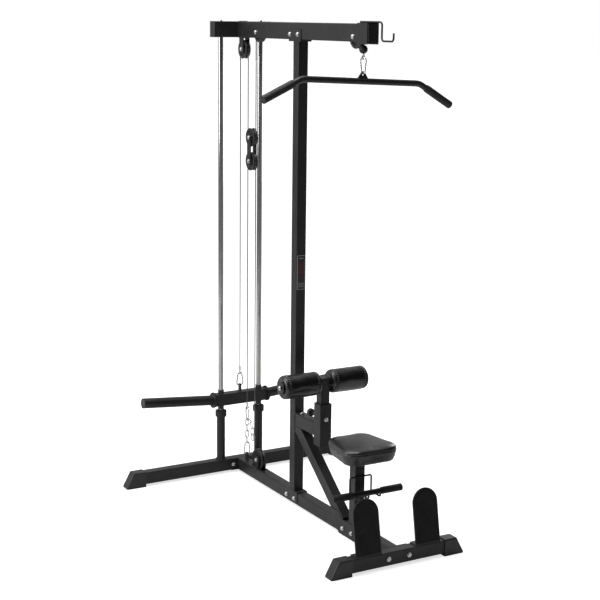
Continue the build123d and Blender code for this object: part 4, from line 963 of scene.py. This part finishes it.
def make_welds():
    """Weld beads at the joints of the frame, the carriage and the roller post."""
    half = TUBE_HALF
    boom_lo, boom_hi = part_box("boom")
    boom_half = (boom_hi.z - boom_lo.z) / 2
    beads = [bead(rectangle((0, boom_hi.y, boom_lo.z + boom_half), X_AXIS, Z_AXIS, half, boom_half))]
    post_lo, post_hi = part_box("upright_post")
    post_y = (post_lo.y + post_hi.y) / 2
    for z in (post_lo.z + 0.003, post_hi.z - 0.004):
        beads.append(bead(rectangle((0, post_y, z), X_AXIS, Y_AXIS, half, half)))
    arm_mid, arm_half = (ARM_LOW + ARM_HIGH) / 2, (ARM_HIGH - ARM_LOW) / 2
    bracket_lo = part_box("roller_bracket")[0]
    for y in (post_lo.y, bracket_lo.y + SLEEVE_W):
        beads.append(bead(rectangle((0, y, arm_mid), X_AXIS, Z_AXIS, half, arm_half)))
    strut_foot = (0, STRUT_FOOT_Y, post_lo.z)
    beads.append(bead(rectangle(strut_foot, X_AXIS, Y_AXIS, half, STRUT_FOOT_HALF)))
    corners = ((-half, ARM_LOW), (-half, STRUT_UNDER), (half, STRUT_UNDER), (half, ARM_LOW))
    beads.append(bead([Vector((x, post_lo.y, z)) for x, z in corners], False))
    weld_piece("post_welds", "frame", beads)

    beads = []
    seat_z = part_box("seat_post")[1].z - SEAT_PLATE_T
    beads.append(bead(rectangle((0, middle("seat_board").y, seat_z), X_AXIS, Y_AXIS, half, half)))
    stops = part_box("stop_posts")
    for x in (stops[0].x + STOP_FOOT_R, stops[1].x - STOP_FOOT_R):
        beads.append(bead(circle((x, middle("stop_posts").y, stops[0].z), Z_AXIS, STOP_FOOT_R)))
    lug_y = middle("anchor_carabiner_lower").y
    lug = rectangle((0, lug_y, post_lo.z), X_AXIS, Y_AXIS, LUG_HALF, 0.013, LUG_CORNER)
    beads.append(bead(lug, radius=THIN_WELD))
    for node in ("low_rear_pulley", "low_front_pulley"):
        y = middle(node).y
        for x in (-half, half):
            beads.append(bead([(x, y - 0.022, post_lo.z), (x, y + 0.022, post_lo.z)], False, THIN_WELD))
    weld_piece("base_welds", "frame", beads)

    carriage = middle("carriage_frame")
    rods_y = middle("guide_rods").y
    bar_z = middle("carriage_bushes").z
    lug = rectangle((0, rods_y, bar_z + CROSSBAR_HALF), X_AXIS, Y_AXIS, LUG_HALF, 0.012, LUG_CORNER)
    beads = [bead(lug, radius=THIN_WELD)]
    for side in (-1, 1):
        axis = Vector((side * math.cos(HORN_TILT), 0, math.sin(HORN_TILT)))
        start = Vector((side * HORN_START, carriage.y, bar_z))
        beads.append(bead(circle(start + axis * 0.004, axis, HORN_R)))
    weld_piece("carriage_welds", "carriage", beads)

    pads = middle("roller_end_caps")
    rings = [circle((x, pads.y, pads.z), X_AXIS, AXLE_R) for x in (-HEIGHT_POST_HALF, HEIGHT_POST_HALF)]
    beads = [bead(ring, radius=THIN_WELD) for ring in rings]
    weld_piece("axle_welds", "roller_post", beads)


# ---------------------------------------------------------------- stage and light
FLOOR_HALF = 60.0
GLOW_NEAR, GLOW_FAR = 1.2, 3.2
FLOOR_GLOW = 0.70           # added for the camera alone, so that the floor runs into the white background
WORLD_BRIGHT = 0.62
WORLD_DARK = 0.015
WORLD_TOWARDS = (-0.50, 0.80, 0.20)


def make_stage():
    n = Nodes("studio_floor")
    colour = n.mix(n.ramp(n.noise(0.6, 2.0), 0.0, 1.0), (0.66, 0.66, 0.66), (0.69, 0.69, 0.69))
    path = n.tree.nodes.new("ShaderNodeLightPath")
    away = n.tree.nodes.new("ShaderNodeVectorMath")
    away.operation = "LENGTH"
    n.link(n.coords.outputs["Object"], away.inputs[0])
    glow = n.ramp(away.outputs["Value"], FLOOR_GLOW, 1.0, GLOW_NEAR, GLOW_FAR)
    glow = n.maths("MULTIPLY", path.outputs["Is Camera Ray"], glow)
    n.set(Emission_Color=(1.0, 1.0, 1.0, 1.0), Specular_IOR_Level=0.1)
    n.link(glow, n.shader.inputs["Emission Strength"])
    n.finish(colour, n.ramp(n.noise(4.0, 2.0), 0.7, 0.8), n.bump(n.noise(60.0, 2.0), 0.02, 0.0005))
    s = FLOOR_HALF
    floor = make_piece("floor", [(-s, -s, 0), (s, -s, 0), (s, s, 0), (-s, s, 0)], [(0, 1, 2, 3)], n.material)


def make_world():
    """White to the camera. Everything else sees a studio that is bright at the left rear, dark opposite."""
    world = bpy.data.worlds.new("Studio")
    SCENE.world = world
    world.use_nodes = True
    tree = world.node_tree
    background = tree.nodes["Background"]
    coords = tree.nodes.new("ShaderNodeTexCoord")
    facing = tree.nodes.new("ShaderNodeVectorMath")
    facing.operation = "DOT_PRODUCT"
    facing.inputs[1].default_value = WORLD_TOWARDS
    tree.links.new(coords.outputs["Generated"], facing.inputs[0])
    side = tree.nodes.new("ShaderNodeMapRange")
    side.interpolation_type = "SMOOTHSTEP"
    limits = {"From Min": -0.6, "From Max": 0.9, "To Min": WORLD_DARK, "To Max": WORLD_BRIGHT}
    for key, value in limits.items():
        side.inputs[key].default_value = value
    tree.links.new(facing.outputs["Value"], side.inputs["Value"])
    path = tree.nodes.new("ShaderNodeLightPath")
    choose = tree.nodes.new("ShaderNodeMix")
    choose.inputs["B"].default_value = 1.0
    tree.links.new(path.outputs["Is Camera Ray"], choose.inputs["Factor"])
    tree.links.new(side.outputs["Result"], choose.inputs["A"])
    tree.links.new(choose.outputs["Result"], background.inputs["Strength"])
    background.inputs["Color"].default_value = (1.0, 1.0, 1.0, 1.0)


def area_light(name, at, towards, width, height, power):
    data = bpy.data.lights.new(name, "AREA")
    data.shape = "RECTANGLE"
    data.size, data.size_y = width, height
    data.energy = power
    light = bpy.data.objects.new(name, data)
    SCENE.collection.objects.link(light)
    light.location = at
    light.rotation_euler = (Vector(towards) - Vector(at)).to_track_quat("-Z", "Y").to_euler()


def make_lights():
    area_light("Key", (-4.4, 1.0, 2.8), (0, 0, 1.0), 2.2, 3.4, 125.0)
    area_light("Top", (-0.6, 0.2, 5.2), (0, 0, 0.6), 4.0, 4.0, 190.0)
    area_light("Rim", (3.8, 2.4, 2.2), (0, 0, 1.0), 1.2, 2.6, 35.0)
    SCENE.view_settings.view_transform = "Standard"
    SCENE.view_settings.look = "None"


make_camera()
make_lat_cable()
make_row_cable()
dress_cad_nodes()
make_seat()
make_roller("roller_pad_left", "roller_left")
make_roller("roller_pad_right", "roller_right")
make_roller_bolt(-1)
make_roller_bolt(1)
make_badge()
make_welds()
make_stage()
make_world()
make_lights()
